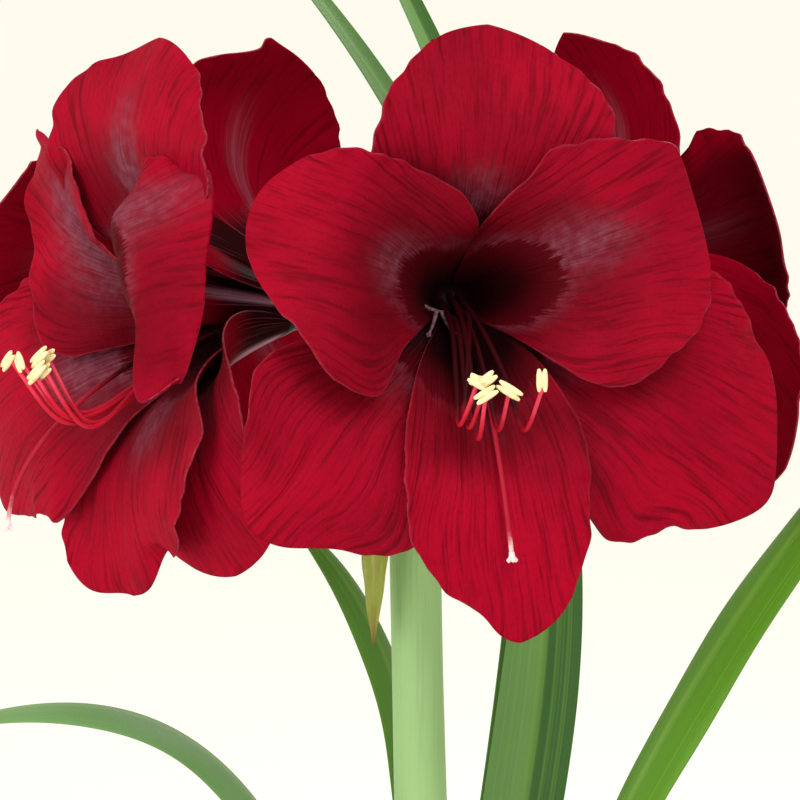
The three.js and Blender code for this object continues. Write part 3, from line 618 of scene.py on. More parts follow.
leaf_material = finish("leaf_green", leaf_paint, 0.25, glow=(0.12, (0.16, 0.42, 0.02, 1)),
                       specular_ior_level=0.25)
for name, leaf in LEAVES.items():
    share = 1 - (1 - np.linspace(0, 1, LEAF_ROWS + 1)) ** 1.25
    middle, ahead = even(leaf["path"], share)
    facing = np.radians(leaf["faces"] + leaf["twist"] * smooth(share))
    level = np.stack([np.cos(facing), np.sin(facing), 0 * facing], -1)
    across = level - ahead * (level * ahead).sum(1)[:, None]
    across /= np.linalg.norm(across, axis=1)[:, None]
    under = np.cross(ahead, across)
    past = np.maximum(0, (share - leaf["tapers"]) / (1 - leaf["tapers"]))
    closing = np.sqrt(np.maximum(0, 1 - past ** leaf["blunt"]))
    width = lerp(leaf["foot"], leaf["half"], smooth(share / 0.4)) * closing
    channel = leaf["channel"] * smooth(share / 0.2) * closing
    thick = lerp(3.0, 1.3, share) / 2 * np.minimum(1, closing * 3)
    turn = np.linspace(0, 2 * np.pi, LEAF_SIDES + 1)
    u = np.cos(turn)
    rise = np.sign(np.sin(turn)) * np.abs(np.sin(turn)) ** 0.7
    wave = 0.5 * np.sin(share * 31)[:, None] * np.abs(u) ** 3 * (smooth(share / 0.3) * closing)[:, None]
    keel = 0.5 * np.exp(-(u / 0.12) ** 2) * np.maximum(0, -rise)
    height = channel[:, None] * u ** 2 - thick[:, None] * rise + wave + keel * closing[:, None]
    rows = middle[:, None] + across[:, None] * (width[:, None] * u)[..., None] \
        + under[:, None] * height[..., None]
    foot = np.tile(rows[0].mean(0), (LEAF_SIDES + 1, 1))
    blade = laid(name + "_blade", np.concatenate([foot[None], rows]), closed=False)
    # Painted shade: one half of the upright leaf is painted as in shade.
    shaded_half = smooth((0.06 - u) / 0.12) if leaf["shade"] > 0.9 else 1 + 0 * u
    for label, value in (("tone", leaf["tone"]), ("shade", leaf["shade"] * shaded_half),
                         ("rib", np.exp(-(u / 0.07) ** 2))):
        marked(blade, label, np.tile(value + 0 * u, len(rows) + 1))
    welded(blade)
    blade.data.materials.append(leaf_material)
    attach(blade, "root")
    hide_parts(name)

# Two bracts once wrapped the buds. Now they are withered and hang from the umbel beside the
# scape, thin as paper, straw green with fine ribs and brown, twisted tips.
BRACTS = {
    "bract_left": {"turn": 228, "twist": -2, "away": 21.5, "half": 14, "length": 108},
    "bract_right": {"turn": 38, "twist": -4, "away": 15.5, "half": 8, "length": 88},
}
BRACT_SEAT = 0.75
BRACT_DROP = 14
BRACT_THICKNESS = 0.5
BRACT_ROWS, BRACT_COLUMNS = 70, 21
BRACT_STRAW = (0.62, 0.56, 0.22, 1)
BRACT_GREEN = (0.38, 0.48, 0.07, 1)
BRACT_BROWN = (0.27, 0.11, 0.040, 1)


def bract_paint(place, grid):
    along = grid.part(1)
    ribs = grid.stretch(1, 0.05, 1).noise(26, 3)
    patch = grid.noise(5, 4)
    colour = patch.ease(0.25, 0.50).mix(BRACT_STRAW, BRACT_GREEN)
    colour = (ribs.ease(0.55, 0.75) * 0.3).mix(colour, BRACT_BROWN)
    brown = (along + patch * 0.3).ease(1.0, 1.2)
    return brown.mix(colour, BRACT_BROWN), 0.6 + ribs * 0.3, ribs


bract_material = finish("withered_bract", bract_paint, 0.5, glow=(0.3, (0.6, 0.45, 0.12, 1)))
for name, bract in BRACTS.items():
    share = np.linspace(0, 1, BRACT_ROWS)[:, None]
    u = np.linspace(-1, 1, BRACT_COLUMNS)[None, :]
    reach = lerp(SCAPE_TOP_RADIUS + BRACT_SEAT, bract["away"], smooth(share * 1.6))
    width = bract["half"] * np.sqrt(np.maximum(0.012, 1 - share ** 1.6)) * (1 - 0.35 * share ** 3)
    angle = np.radians(bract["turn"] + bract["twist"] * share) + width * u / (reach + 4)
    crinkle = 0.5 * np.sin(share * 40 + 3 * u) * smooth(share * 3) + 0.9 * np.abs(u) * smooth(share * 2)
    reach = reach + crinkle * np.sqrt(np.maximum(0, 1 - share))
    height = -BRACT_DROP - bract["length"] * share - np.where(share > 0.9, 3 * (1 - u * u), 0)
    rows = np.array(UMBEL) + np.stack([reach * np.cos(angle), reach * np.sin(angle), height + 0 * u], -1)
    paper = laid(name + "_paper", rows, closed=False)
    applied(paper, "SOLIDIFY", thickness=BRACT_THICKNESS * MM, offset=0)
    paper.data.materials.append(bract_material)
    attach(paper, "root")
    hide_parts(name)

# A bloom is six velvety tepals in two whorls. Their claws wrap round a narrow tube, and above it
# they open and roll back, with waved edges. The throat is maroon black, with a feathered edge,
# and the velvet's grey mauve sheen is painted into the colour, spreading from it up each midrib
# into the dark red.
CLAWS = {True: (5, 11), False: (7, 14)}
CLAW_START = 2
CLAW_HEIGHT = 30
CLAW_SHARE = 1.03
CLAW_WIDTH = 0.16
TIP_ROW = 0.93
TEPAL_THICKNESS = 0.75
# The throat's dark reaches out by the first figure at the midrib and by the second at the edges;
# on tepals that lie in shade it reaches further, as painted shade. The painted mauve sheen has a
# length, a breadth and a centre, and pale sets its strength. A whole tepal can also be darkened, as
# painted shade. A pull moves what lies near a spot: where it is seen from in front, how far it is
# moved, and how wide the pull is
TEPAL = {"inner": False, "shoulder": (31, 0, 88), "point": 2, "ruffle": 1.2, "waves": 3, "phase": 0,
         "dark": (36, 32), "pale": 0.6, "haze": (22, 0.30, 0), "dusk": 0.05, "pulls": ()}


def wing(half=42, widest=0.6, blunt=2.5, spread=0.6, cup=14, curl=-6):
    """One half of a tepal: how wide, where widest, how blunt at the tip and how full below, and by
    how many degrees it cups at its middle and curls at its tip."""
    return half, widest, blunt, spread, cup, curl


def outer(clock, tip, left=wing(), right=wing(), **own):
    return {**TEPAL, "clock": clock, "tip": tip, "left": left, "right": right, **own}


def inner(clock, tip, left=wing(), right=wing(), **own):
    return outer(clock, tip, left, right, **{"inner": True, "shoulder": (30, 0, 98), **own})


BROAD = wing(42, 0.62, spread=0.7)
LOWEST = wing(35, 0.64, spread=0.8)
TEPALS = {
    "front": [
        outer(4, (94, 2, 55), wing(41, 0.58, 1.5, 0.7, 16, 12), wing(45, 0.58, 1.8, 0.7, 16, 12),
              shoulder=(28, -2, 90), waves=2.5, phase=0.1, dark=(29, 26), pale=0.8, haze=(26, 0.4, 0),
              dusk=0.2, pulls=((45, 62, (4, 1, 0), 20),)),
        outer(120, (126, -5, 44), wing(46, 0.66, 2.4, 0.8, curl=-14), wing(49, 0.66, 4.6, 0.7, curl=-4),
              shoulder=(34, 2, 86), phase=0.3, ruffle=1.5, point=1, pale=0.6, haze=(26, 0.35, 0.1),
              dusk=0.08,
              pulls=((109, -13, (-7, 0, 0), 18), (113, -42, (-4, 0, 0), 18), (103, -73, (5, -3, 0), 14),
                     (75, -90, (0, 7, 0), 16), (51, -80, (-2, -8, 0), 14))),
        outer(-135, (115, 0, 46), wing(34, 0.66, 3.6, 0.7, curl=-4), wing(22, 0.62, 3.4, 0.7, curl=-8),
              shoulder=(32, 0, 84), phase=0.6, ruffle=1.5, point=1, pale=0.6, haze=(24, 0.5, 0), dusk=0.16,
              pulls=((-63, -30, (-14, 8, 0), 22), (-32, -78, (6, -11, 0), 18), (-55, -94, (0, 5, 0), 16),
                     (-85, -68, (3, 0, 0), 16))),
        inner(76, (84, 0, 66), wing(41, 0.52, 3.2, 0.38, curl=10), wing(44, 0.56, 2.8, 0.5, curl=10),
              shoulder=(30, 0, 96), point=0, dark=(34, 14), pale=1, haze=(46, 0.3, -0.15), dusk=0.22,
              pulls=((6, 22, (-5, 0, 0), 14), (37, -26, (1, -7, 0), 18), (69, 45, (3, 4, 0), 14))),
        inner(-69, (85, 3, 68), wing(50, 0.44, 2, 0.4, curl=10), wing(32, 0.5, 4, 0.35, curl=10),
              shoulder=(30, 0, 96), phase=0.5, point=0, dark=(28, 19), pale=0.9, haze=(20, 0.5, 0),
              dusk=0.16,
              pulls=((-11, 29, (10, -5, 0), 14), (-44, -21, (6, -15, 0), 14), (-74, -10, (4, 0, 0), 18),
                     (-63, 49, (0, -5, 0), 20))),
        inner(172, (123, 5, 60), wing(33, 0.68, 2, 0.9, 20, 2), wing(34, 0.62, 1.7, 0.9, 20, 2),
              shoulder=(30, 3, 94), waves=2.5, phase=0.2, dark=(44, 36), pale=0.35,
              pulls=((-22, -84, (-4, 0, 0), 16), (-4, -115, (3, 3, 0), 10), (43, -78, (-3, 0, 0), 18),
                     (37, -103, (-3, 0, 0), 14))),
    ],
    "left": [
        outer(0, (95, 2, 74), wing(47, blunt=2.2, curl=4), wing(43, 0.62, 2.8, curl=-14),
              shoulder=(30, 0, 110), waves=2.5, phase=0.1, pale=1.1, haze=(62, 0.24, -0.05),
              pulls=((-16, 92, (0, -4, 0), 16), (-37, 76, (-5, 0, 0), 14), (44, 54, (4, 0, -3), 18))),
        outer(-123, (112, 0, 70), wing(48, 0.66, 2.8, 0.7, curl=-4), wing(40, 0.64, 2.8, 0.7, curl=-4),
              shoulder=(34, 0, 96), phase=0.4, ruffle=1.5, point=1, pale=1.1, haze=(44, 0.5, 0), dusk=0,
              pulls=((-26, -76, (0, -9, 0), 12), (-78, -79, (0, -7, 0), 14))),
        outer(140, (98, 28, 46), wing(37, 0.62, 2.8, 0.7, curl=-12), wing(38, 0.62, 2, 0.7, curl=-4),
              shoulder=(34, 0, 84), phase=0.6, ruffle=1.5, point=1),
        inner(-62, (80, 24, 76), wing(31, 0.46, 2.6, 0.45, curl=10), wing(26, 0.56, 2.6, curl=10),
              shoulder=(34, -12, 98), phase=0.2, point=4, pale=1.5, dark=(22, 20), haze=(80, 0.62, 0.25),
              dusk=0,
              pulls=((-66, 18, (2, 0, -10), 16), (-42, -12, (-4, -10, 6), 18), (-59, 62, (-4, -3, 5), 8),
                     (-46, 60, (0, -9, 0), 7), (-20, 40, (-7, -14, 3), 14), (-8, 30, (-4, -13, 3), 12))),
        inner(60, (60, -8, 73), wing(38, 0.62, 3.2, 0.7, curl=-20),
              wing(46, blunt=3, spread=0.7, cup=10, curl=-30), shoulder=(8, 0, 148), ruffle=1.5, point=0,
              pale=0.9, haze=(50, 0.35, -0.3),
              pulls=((5, 48, (5, -9, -14), 14), (54, 18, (-5, 0, 4), 18), (48, -8, (-4, -26, 3), 8),
                     (32, -7, (5, -6, -5), 9), (43, 43, (1, 6, 0), 7))),
        inner(180, (106, 8, 56), wing(42, 0.58, 2.8, 0.7, 16, -6), wing(34, 0.64, 2.6, 0.8, 16, 14),
              shoulder=(34, 0, 96), phase=0.2, point=3, pale=0.8, haze=(40, 0.25, -0.2),
              pulls=((-32, -38, (7, -10, -6), 16), (39, -42, (5, 0, -3), 16), (-29, -97, (-5, 0, 3), 12),
                     (17, -101, (-3, 12, 0), 11), (-22, -102, (-3, -7, 0), 9))),
    ],
    "back": [
        outer(-14, (90, 11, 56), wing(56, 0.56, 2.4), wing(44, blunt=2.4), point=6,
              pulls=((-62, 55, (-5, -2, -5), 20), (0, 92, (0, -5, 0), 20), (-10, 95, (5, 2, 0), 4))),
        outer(96, (124, 0, 56), wing(44, 0.62, spread=0.7), wing(44, 0.62, spread=0.7), phase=0.4),
        outer(-126, (110, 0, 52), BROAD, BROAD, phase=0.7),
        inner(48, (86, 0, 70), phase=0.2),
        inner(-66, (88, 0, 70), phase=0.5),
        inner(170, (106, 0, 66), LOWEST, LOWEST, phase=0.8),
    ],
    "right": [
        outer(4, (94, 0, 52), wing(36, blunt=2.2), wing(44, blunt=2.2), point=4),
        outer(-146, (110, 0, 52), wing(44, 0.62, spread=0.7), wing(40, 0.62, spread=0.7), phase=0.4),
        outer(112, (112, 0, 52), BROAD, BROAD, phase=0.7),
        inner(-84, (72, 0, 70), wing(), wing(40), phase=0.2, dark=(78, 58), pale=0.3, dusk=0.75),
        inner(46, (88, 0, 70), phase=0.5),
        inner(168, (106, 0, 66), LOWEST, LOWEST, phase=0.8),
    ],
}
CRIMSON = (0.185, 0.0004, 0.0078, 1)
CRIMSON_LIT = (0.345, 0.0007, 0.0160, 1)
CRIMSON_DEEP = (0.062, 0.0004, 0.0030, 1)
MAROON = (0.075, 0.0006, 0.0035, 1)
THROAT = (0.0060, 0.0004, 0.0008, 1)
MAUVE = (0.130, 0.020, 0.036, 1)
MAUVE_PALE = (0.215, 0.062, 0.092, 1)
EDGE_PINK = (0.270, 0.022, 0.042, 1)
OUTSIDE = (0.235, 0.0008, 0.0105, 1)
OUTSIDE_DARK = (0.016, 0.0006, 0.0016, 1)
TUBE_ROSE = (0.200, 0.055, 0.085, 1)
TUBE_PAINTED_HIGHLIGHT = (0.560, 0.270, 0.370, 1)


def tepal_rows(tepal, rows, columns, seed):
    """One tepal's surface in its bloom's own millimetres, how far each point is outside the dark
    throat, how much painted mauve sheen it has, and where it lies on the lines that fan out from the
    claw. The claw wraps round the throat, then the tepal opens by its cup and curl, and its edge waves."""
    u = np.linspace(-1, 1, columns + 1)[None, :]
    v = np.linspace(0, 1, rows + 1)[:, None]
    edge = np.abs(u)
    half, widest, blunt, spread, cup, curl = (
        np.where(u > 0, right, left) for left, right in zip(tepal["left"], tepal["right"]))

    def width_at(share):
        growth = CLAW_WIDTH + (1 - CLAW_WIDTH) * smooth(share / widest) ** spread
        past = np.clip((share - widest) / (1 - widest), 0, 1)
        return np.where(share < widest, growth, np.sqrt(1 - past ** blunt))

    closes = widest + (1 - widest) * (1 - (edge * width_at(TIP_ROW)) ** 2) ** (1 / blunt)
    share = np.minimum(1, TIP_ROW * v + (closes - TIP_ROW) * smooth((v - 0.55) / 0.45))
    claw_radius, belly = CLAWS[tepal["inner"]]
    midrib = [(claw_radius, 0, CLAW_START), (claw_radius + belly, 0, CLAW_HEIGHT),
              tepal["shoulder"], tepal["tip"]]
    middle, ahead = even(midrib, share)
    across = np.array([0.0, 1, 0]) - ahead * ahead[..., 1:2]
    across /= np.linalg.norm(across, axis=-1, keepdims=True)
    inward = np.cross(ahead, across)
    full = np.minimum(half * width_at(TIP_ROW * v), middle[..., 0] * CLAW_SHARE)
    frill = np.random.default_rng(seed)
    tips = frill.uniform(0, 6.3, 6)
    wobble = 0.013 * np.sin(19 * v + tips[0]) + 0.011 * np.sin(43 * v + tips[1] + u)
    wobble = wobble + 0.008 * np.sin(87 * v + tips[5] - u)
    full = full * (1 + wobble * smooth((share - 0.4) / 0.2) * edge ** 3)
    width = full * edge
    tube = -inward[..., 0] * full / middle[..., 0]
    opened = np.radians(lerp(cup, curl, smooth((share - 0.45) / 0.55)))
    wrap = lerp(tube, opened, smooth((share - 0.42) / 0.22)) * edge
    bend = np.where(np.abs(wrap) < 0.0005, 0.0005, wrap)
    wave = np.sin(2 * np.pi * (tepal["waves"] * share + tepal["phase"] + 0.35 * u))
    ruffle = tepal["ruffle"] * smooth((share - 0.3) / 0.4) * u * u * wave
    ripples = sum(size * np.sin(pace * share * 6.3 + start + 2 * u)
                  for size, pace, start in ((0.55, 7, tips[2]), (0.4, 11, tips[3]), (0.25, 17, tips[4])))
    ruffle = ruffle + ripples * edge ** 5 * smooth((share - 0.4) / 0.25)
    grooved = smooth((share - 0.35) / 0.2) * (1 - smooth((share - 0.8) / 0.2))
    groove = -0.8 * np.exp(-(u / 0.05) ** 2) * grooved
    peak = tepal["point"] * (1 - edge) ** 2 * smooth((v - 0.8) / 0.2)
    points = middle + across * (width * np.sign(u) * np.sin(bend) / bend)[..., None] \
        + inward * (width * (1 - np.cos(bend)) / bend + ruffle + groove)[..., None] \
        + ahead * peak[..., None]
    turn = np.radians(tepal["clock"])
    r, t, z = points[..., 0], points[..., 1], points[..., 2]
    shape = np.stack([r * np.sin(turn) + t * np.cos(turn), r * np.cos(turn) - t * np.sin(turn), z], -1)
    moved = shape.copy()
    for at_x, at_y, push, size in tepal["pulls"]:
        near = np.exp(-((shape[..., 0] - at_x) ** 2 + (shape[..., 1] - at_y) ** 2) / size ** 2)
        moved += near[..., None] * np.array(push, float)
    fan = t / (half * (0.10 + 1.15 * share))
    reach = np.hypot(r, t) - lerp(*tepal["dark"], edge ** 1.5)
    length, breadth, centre = tepal["haze"]
    ridge = np.exp(-((u - centre) / breadth) ** 2) * (1 - smooth(reach / length))
    haze = tepal["pale"] * np.maximum(ridge, 0.6 * (1 - smooth(reach / 9)))
    return moved, reach, haze, np.stack([fan, 130 * share, 0 * fan + seed], -1)


def streaked(place, fan_width, run_width, detail):
    """Fine lines that run from the claw and fan out to the margin, with a slight wander."""
    sway = (place.noise(34, 2) - 0.5) * 0.06 + (place.noise(150, 2) - 0.5) * 0.02
    lines = place.attribute("lines", out=1).moved(sway).stretch(fan_width, run_width, 1)
    return lines.noise(1.0, detail, 0.55)


def petal_inside(place, grid):
    u = grid.part(0) * 2 - 1
    edge = u.math("ABSOLUTE", u)
    along = grid.part(1)
    reach, haze_at = place.attribute("reach"), place.attribute("haze")
    streaks = streaked(place, 19, 0.034, 3)
    threads = streaked(place, 44, 0.06, 3)
    crepe = place.noise(560, 3, 0.6)
    mottle = place.noise(230, 3, 0.6)
    cloud = place.noise(26, 3)
    # Painted light: towards the tip and in clouds the red is lighter, up to the lit red.
    red = (cloud * 0.6 + along * 0.4).ease(0.35, 0.75).mix(CRIMSON, CRIMSON_LIT)
    lined = streaks.ease(0.48, 0.70) * (0.34 + edge * 0.36)
    red = lined.mix(red, CRIMSON_DEEP)
    red = (threads.ease(0.5, 0.70) * 0.34).mix(red, CRIMSON_DEEP)
    red = (crepe.ease(0.5, 0.75) * 0.2).mix(red, CRIMSON_DEEP)
    red = ((1 - (reach + (cloud - 0.5) * 30).ease(0, 36)) * 0.5).mix(red, CRIMSON_DEEP)
    # Painted sheen: the velvet's grey mauve sheen is painted into the colour, grainy along the threads.
    haze = haze_at * (0.6 + threads.ease(0.3, 0.7) * 0.3 + mottle.ease(0.3, 0.7) * 0.2)
    sheen_grain = (threads * 0.5 + mottle * 0.5).ease(0.35, 0.7)
    red = haze.ease(0.0, 1.15).mix(red, sheen_grain.mix(MAUVE, MAUVE_PALE))
    fringe = reach + streaked(place, 40, 0.05, 2) * 11 - 5.5 + mottle * 3 - 1.5
    dark = 1 - fringe.ease(-1.2, 1.4)
    red = dark.mix(red, reach.ease(-17, -1).mix(THROAT, MAROON))
    # Painted shade: each tepal is darkened as a whole by how much it lies in shade.
    red = place.attribute("dusk").mix(red, CRIMSON_DEEP)
    rim = edge.ease(0.972, 1.0) * along.ease(0.35, 0.5) * 0.4
    relief = crepe * 0.35 + mottle * 0.25 - streaks.ease(0.45, 0.75) * 0.45
    return rim.mix(red, EDGE_PINK), 0.5 + crepe * 0.2, relief


def petal_outside(place, grid):
    u = grid.part(0) * 2 - 1
    edge = u.math("ABSOLUTE", u)
    along = grid.part(1)
    streaks = streaked(place, 19, 0.034, 3)
    threads = streaked(place, 26, 0.014, 2)
    crepe = place.noise(560, 3, 0.6)
    red = (place.noise(26, 3) * 0.6 + along * 0.4).ease(0.35, 0.75).mix(OUTSIDE, CRIMSON)
    red = (streaks.ease(0.5, 0.7) * 0.5).mix(red, CRIMSON_DEEP)
    midrib = (1 - edge.ease(0.02, 0.24)) * (0.15 + threads.ease(0.35, 0.65) * 0.5)
    red = (midrib * along.ease(0.2, 0.4) * (1 - along.ease(0.55, 0.9))).mix(red, MAUVE_PALE)
    tube = 1 - along.ease(0.24, 0.44)
    red = tube.mix(red, (threads.ease(0.58, 0.72) * 0.4).mix(OUTSIDE_DARK, TUBE_ROSE))
    # Painted highlight: a pale pink gloss highlight is painted along the midrib keel of the tube.
    keel = (1 - edge.ease(0.03, 0.30)) * tube * along.ease(0.04, 0.12) * threads.ease(0.2, 0.5)
    red = (keel * 0.9).mix(red, TUBE_PAINTED_HIGHLIGHT)
    relief = crepe * 0.35 * along - streaks.ease(0.45, 0.75) * 0.45 * along
    # Painted shade on the outside too, painted lighter towards the edges, which stay lit as painted light.
    lit_rim = edge.ease(0.55, 0.95) * 0.7
    red = (place.attribute("dusk") * (1 - lit_rim)).mix(red, OUTSIDE_DARK)
    return red, 0.55 + crepe * 0.15, relief, tube * 0.06


VELVET = {"sheen_weight": 0.02, "sheen_roughness": 0.4, "sheen_tint": (1.0, 0.3, 0.4, 1)}
inside = finish("petal_inside", petal_inside, 0.7, glow=(0.12, (0.36, 0.001, 0.010, 1)),
                specular_ior_level=0.04, **VELVET)
outside = finish("petal_outside", petal_outside, 0.6, glow=(0.08, (0.30, 0.001, 0.008, 1)),
                 specular_ior_level=0.0, coat_roughness=0.18, coat_tint=(1.0, 0.7, 0.8, 1), **VELVET)


def grainy(scale, low, high, dark, light, share=1.0, rough=0.2):
    """A paint of two colours in fine grains."""
    def paint(place, grid):
        grain = place.noise(scale, 2)
        return (grain.ease(low, high) * share).mix(dark, light), 0.5 + grain * rough, grain
    return paint


cut_edge = finish("petal_edge", grainy(600, 0.3, 0.7, CRIMSON, EDGE_PINK, rough=0.1), 0.1,
                  specular_ior_level=0.1)
FINENESS = {"front": (110, 60), "left": (110, 60), "back": (64, 40), "right": (64, 40)}
for name, tepals in TEPALS.items():
    place = placed(BLOOM_PLACES[name])
    rows, columns = FINENESS[name]
    sheets = []
    for k, tepal in enumerate(tepals):
        points, reach, haze, lines = tepal_rows(tepal, rows, columns, 31 * k + len(name))
        sheet = laid(f"tepal_{name}_{k}", place(points), closed=False)
        for label, values in (("reach", reach), ("haze", haze), ("dusk", 0 * reach + tepal["dusk"])):
            marked(sheet, label, values)
        marked(sheet, "lines", lines, "FLOAT_VECTOR")
        for material in (inside, outside, cut_edge):
            sheet.data.materials.append(material)
        sheets.append(sheet)
    perianth = joined("tepals_" + name, sheets)
    applied(perianth, "SOLIDIFY", thickness=TEPAL_THICKNESS * MM, offset=0, material_offset=1,
            material_offset_rim=2)
    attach(perianth, "root")
    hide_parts("perianth_" + name)

# Where the six claws meet the ovary the tube closes to a short smooth neck, glossy and nearly
# black. It grew as one with the tepals and sits on the green ovary under each bloom.
NECK_PROFILE = [(-0.6, 6.8), (1.5, 7.4), (4, 8.6), (7, 10.0), (11, 11.0)]


def neck_paint(place, grid):
    streak = grid.stretch(1, 0.1, 1).noise(40, 3)
    return streak.ease(0.4, 0.7).mix(THROAT, OUTSIDE_DARK), 0.3 + streak * 0.2, streak


necks = []
for name, bloom in BLOOM_PLACES.items():
    place = placed(bloom)
    line = place([(0, 0, z) for z, radius in NECK_PROFILE])
    necks.append(laid(f"neck_{name}", rod(line, [radius for z, radius in NECK_PROFILE], 48)))
neck = joined("flower_necks", necks)
neck.data.materials.append(finish("neck_skin", neck_paint, 0.15, specular_ior_level=0.1))
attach(neck, "root")

# Six stamens and a longer style lie along the lower side of the throat and turn up at the ends.
# The filaments are dark in the throat and red at the ends, each with a two-lobed cream anther on
# it, and the style ends in a pale three-part stigma. Small fringed scales stand at their feet.
DISC_END = 9.6
FILAMENT_RING = 3.9
FILAMENT_STEP = 1.5
FILAMENT_RADII = (1.15, 0.7)
ANTHER_LOBE = 1.15
STYLE_RADII = (1.05, 0.8)
STYLE_ROWS = 80
THREAD_SIDES = 12
POD_ROWS, POD_SIDES = 18, 14
DISC_SIDES = 32
# Each anther's two ends and where between them it is held, the low point of each filament's sweep,
# the bends that all of them take before it, and where they turn from dark to red
FACING = {
    "anthers": [((-9.8, -32.7, 100), (-4.4, -36.2, 100), 0.5),
                ((-6.5, -35.8, 99), (-1.5, -31.9, 101), 0.5),
                ((-8, -40.9, 101), (-1.3, -37, 101), 0.5), ((0.1, -35.3, 100), (7.3, -39.9, 100), 0.5),
                ((15, -38, 100), (15.2, -30.8, 100), 0.05), ((-9, -33.4, 96), (-3.4, -34.6, 96), 0.5)],
    "lows": [(-11.1, -48.3, 85), (-7.7, -49.4, 85), (-4.7, -53.3, 85), (2.4, -50.4, 85),
             (11.6, -50.6, 85), (-9, -46, 82)],
    "runs": [(0.25, -13, 44), (0.7, -33, 68)], "style": (6.9, -93.5, 78), "dark_to": 0.74}
SIDEWAYS = {
    "anthers": [((9.7, -20.5, 128), (4.6, -26, 128), 0.3), ((9.7, -20.5, 126), (14, -25.6, 126), 0.3),
                ((13.8, -23.4, 122), (22.1, -17.6, 122), 0.4), ((14.5, -22, 118), (21, -18.5, 118), 0.4),
                ((12.3, -29.9, 122), (21.6, -22.6, 122), 0.4),
                ((13.5, -28, 119), (20.5, -23.5, 119), 0.4)],
    "lows": [(19.5, -42.2, 112), (20, -41, 110), (23.5, -43.6, 104), (22, -42, 102),
             (20.3, -39.2, 112), (19, -38, 108)],
    "runs": [(0.2, -13, 44), (0.6, -30, 74)], "style": (13.9, -80, 126), "dark_to": 0.45}
STAMENS = {"front": (FACING, 1), "left": (SIDEWAYS, 1), "back": (FACING, -1), "right": (FACING, -1)}
SCALES = [[(-13.5, -1, 20), (-9, -3.8, 25), (-3.5, -5, 25)],
          [(-8, -4.2, 25), (-9.6, -9, 27), (-12, -14, 27.5)],
          [(-6, -4.8, 25), (-3.4, -11, 28), (1, -14.5, 28)],
          [(-12, -15.5, 28), (-11, -18, 30), (-9.8, -21.5, 30)]]
FILAMENT_RED = (0.420, 0.006, 0.022, 1)
FILAMENT_PINK = (0.600, 0.045, 0.085, 1)
FILAMENT_DARK = (0.026, 0.0006, 0.0018, 1)
STYLE_RED = (0.300, 0.006, 0.020, 1)
ANTHER_CREAM = (0.820, 0.690, 0.380, 1)
ANTHER_SEAM = (0.520, 0.360, 0.130, 1)
STIGMA_PALE = (0.850, 0.620, 0.620, 1)
SCALE_PINK = (0.240, 0.125, 0.130, 1)
SCALE_DARK = (0.090, 0.035, 0.040, 1)


def filament_paint(place, grid):
    along = grid.part(1)
    fleck = place.noise(300, 2)
    colour = (along + fleck * 0.1 - place.attribute("dark_to")).ease(-0.1, 0.12)
    colour = colour.mix(FILAMENT_DARK, FILAMENT_RED)
    return (along + fleck * 0.1).ease(0.86, 1.0).mix(colour, FILAMENT_PINK), 0.45 + fleck * 0.1, fleck


def style_paint(place, grid):
    along = grid.part(1)
    fleck = place.noise(300, 2)
    colour = (along + fleck * 0.1).ease(0.50, 0.72).mix(FILAMENT_DARK, STYLE_RED)
    return (along + fleck * 0.1).ease(0.96, 1.07).mix(colour, STIGMA_PALE), 0.45 + fleck * 0.1, fleck


def anther_paint(place, grid):
    grain = place.noise(1500, 3)
    groove = place.noise(420, 2)
    colour = (groove.ease(0.5, 0.7) * 0.55).mix(ANTHER_CREAM, ANTHER_SEAM)
    return (grain.ease(0.5, 0.75) * 0.3).mix(colour, ANTHER_SEAM), 0.75 + grain * 0.2, grain


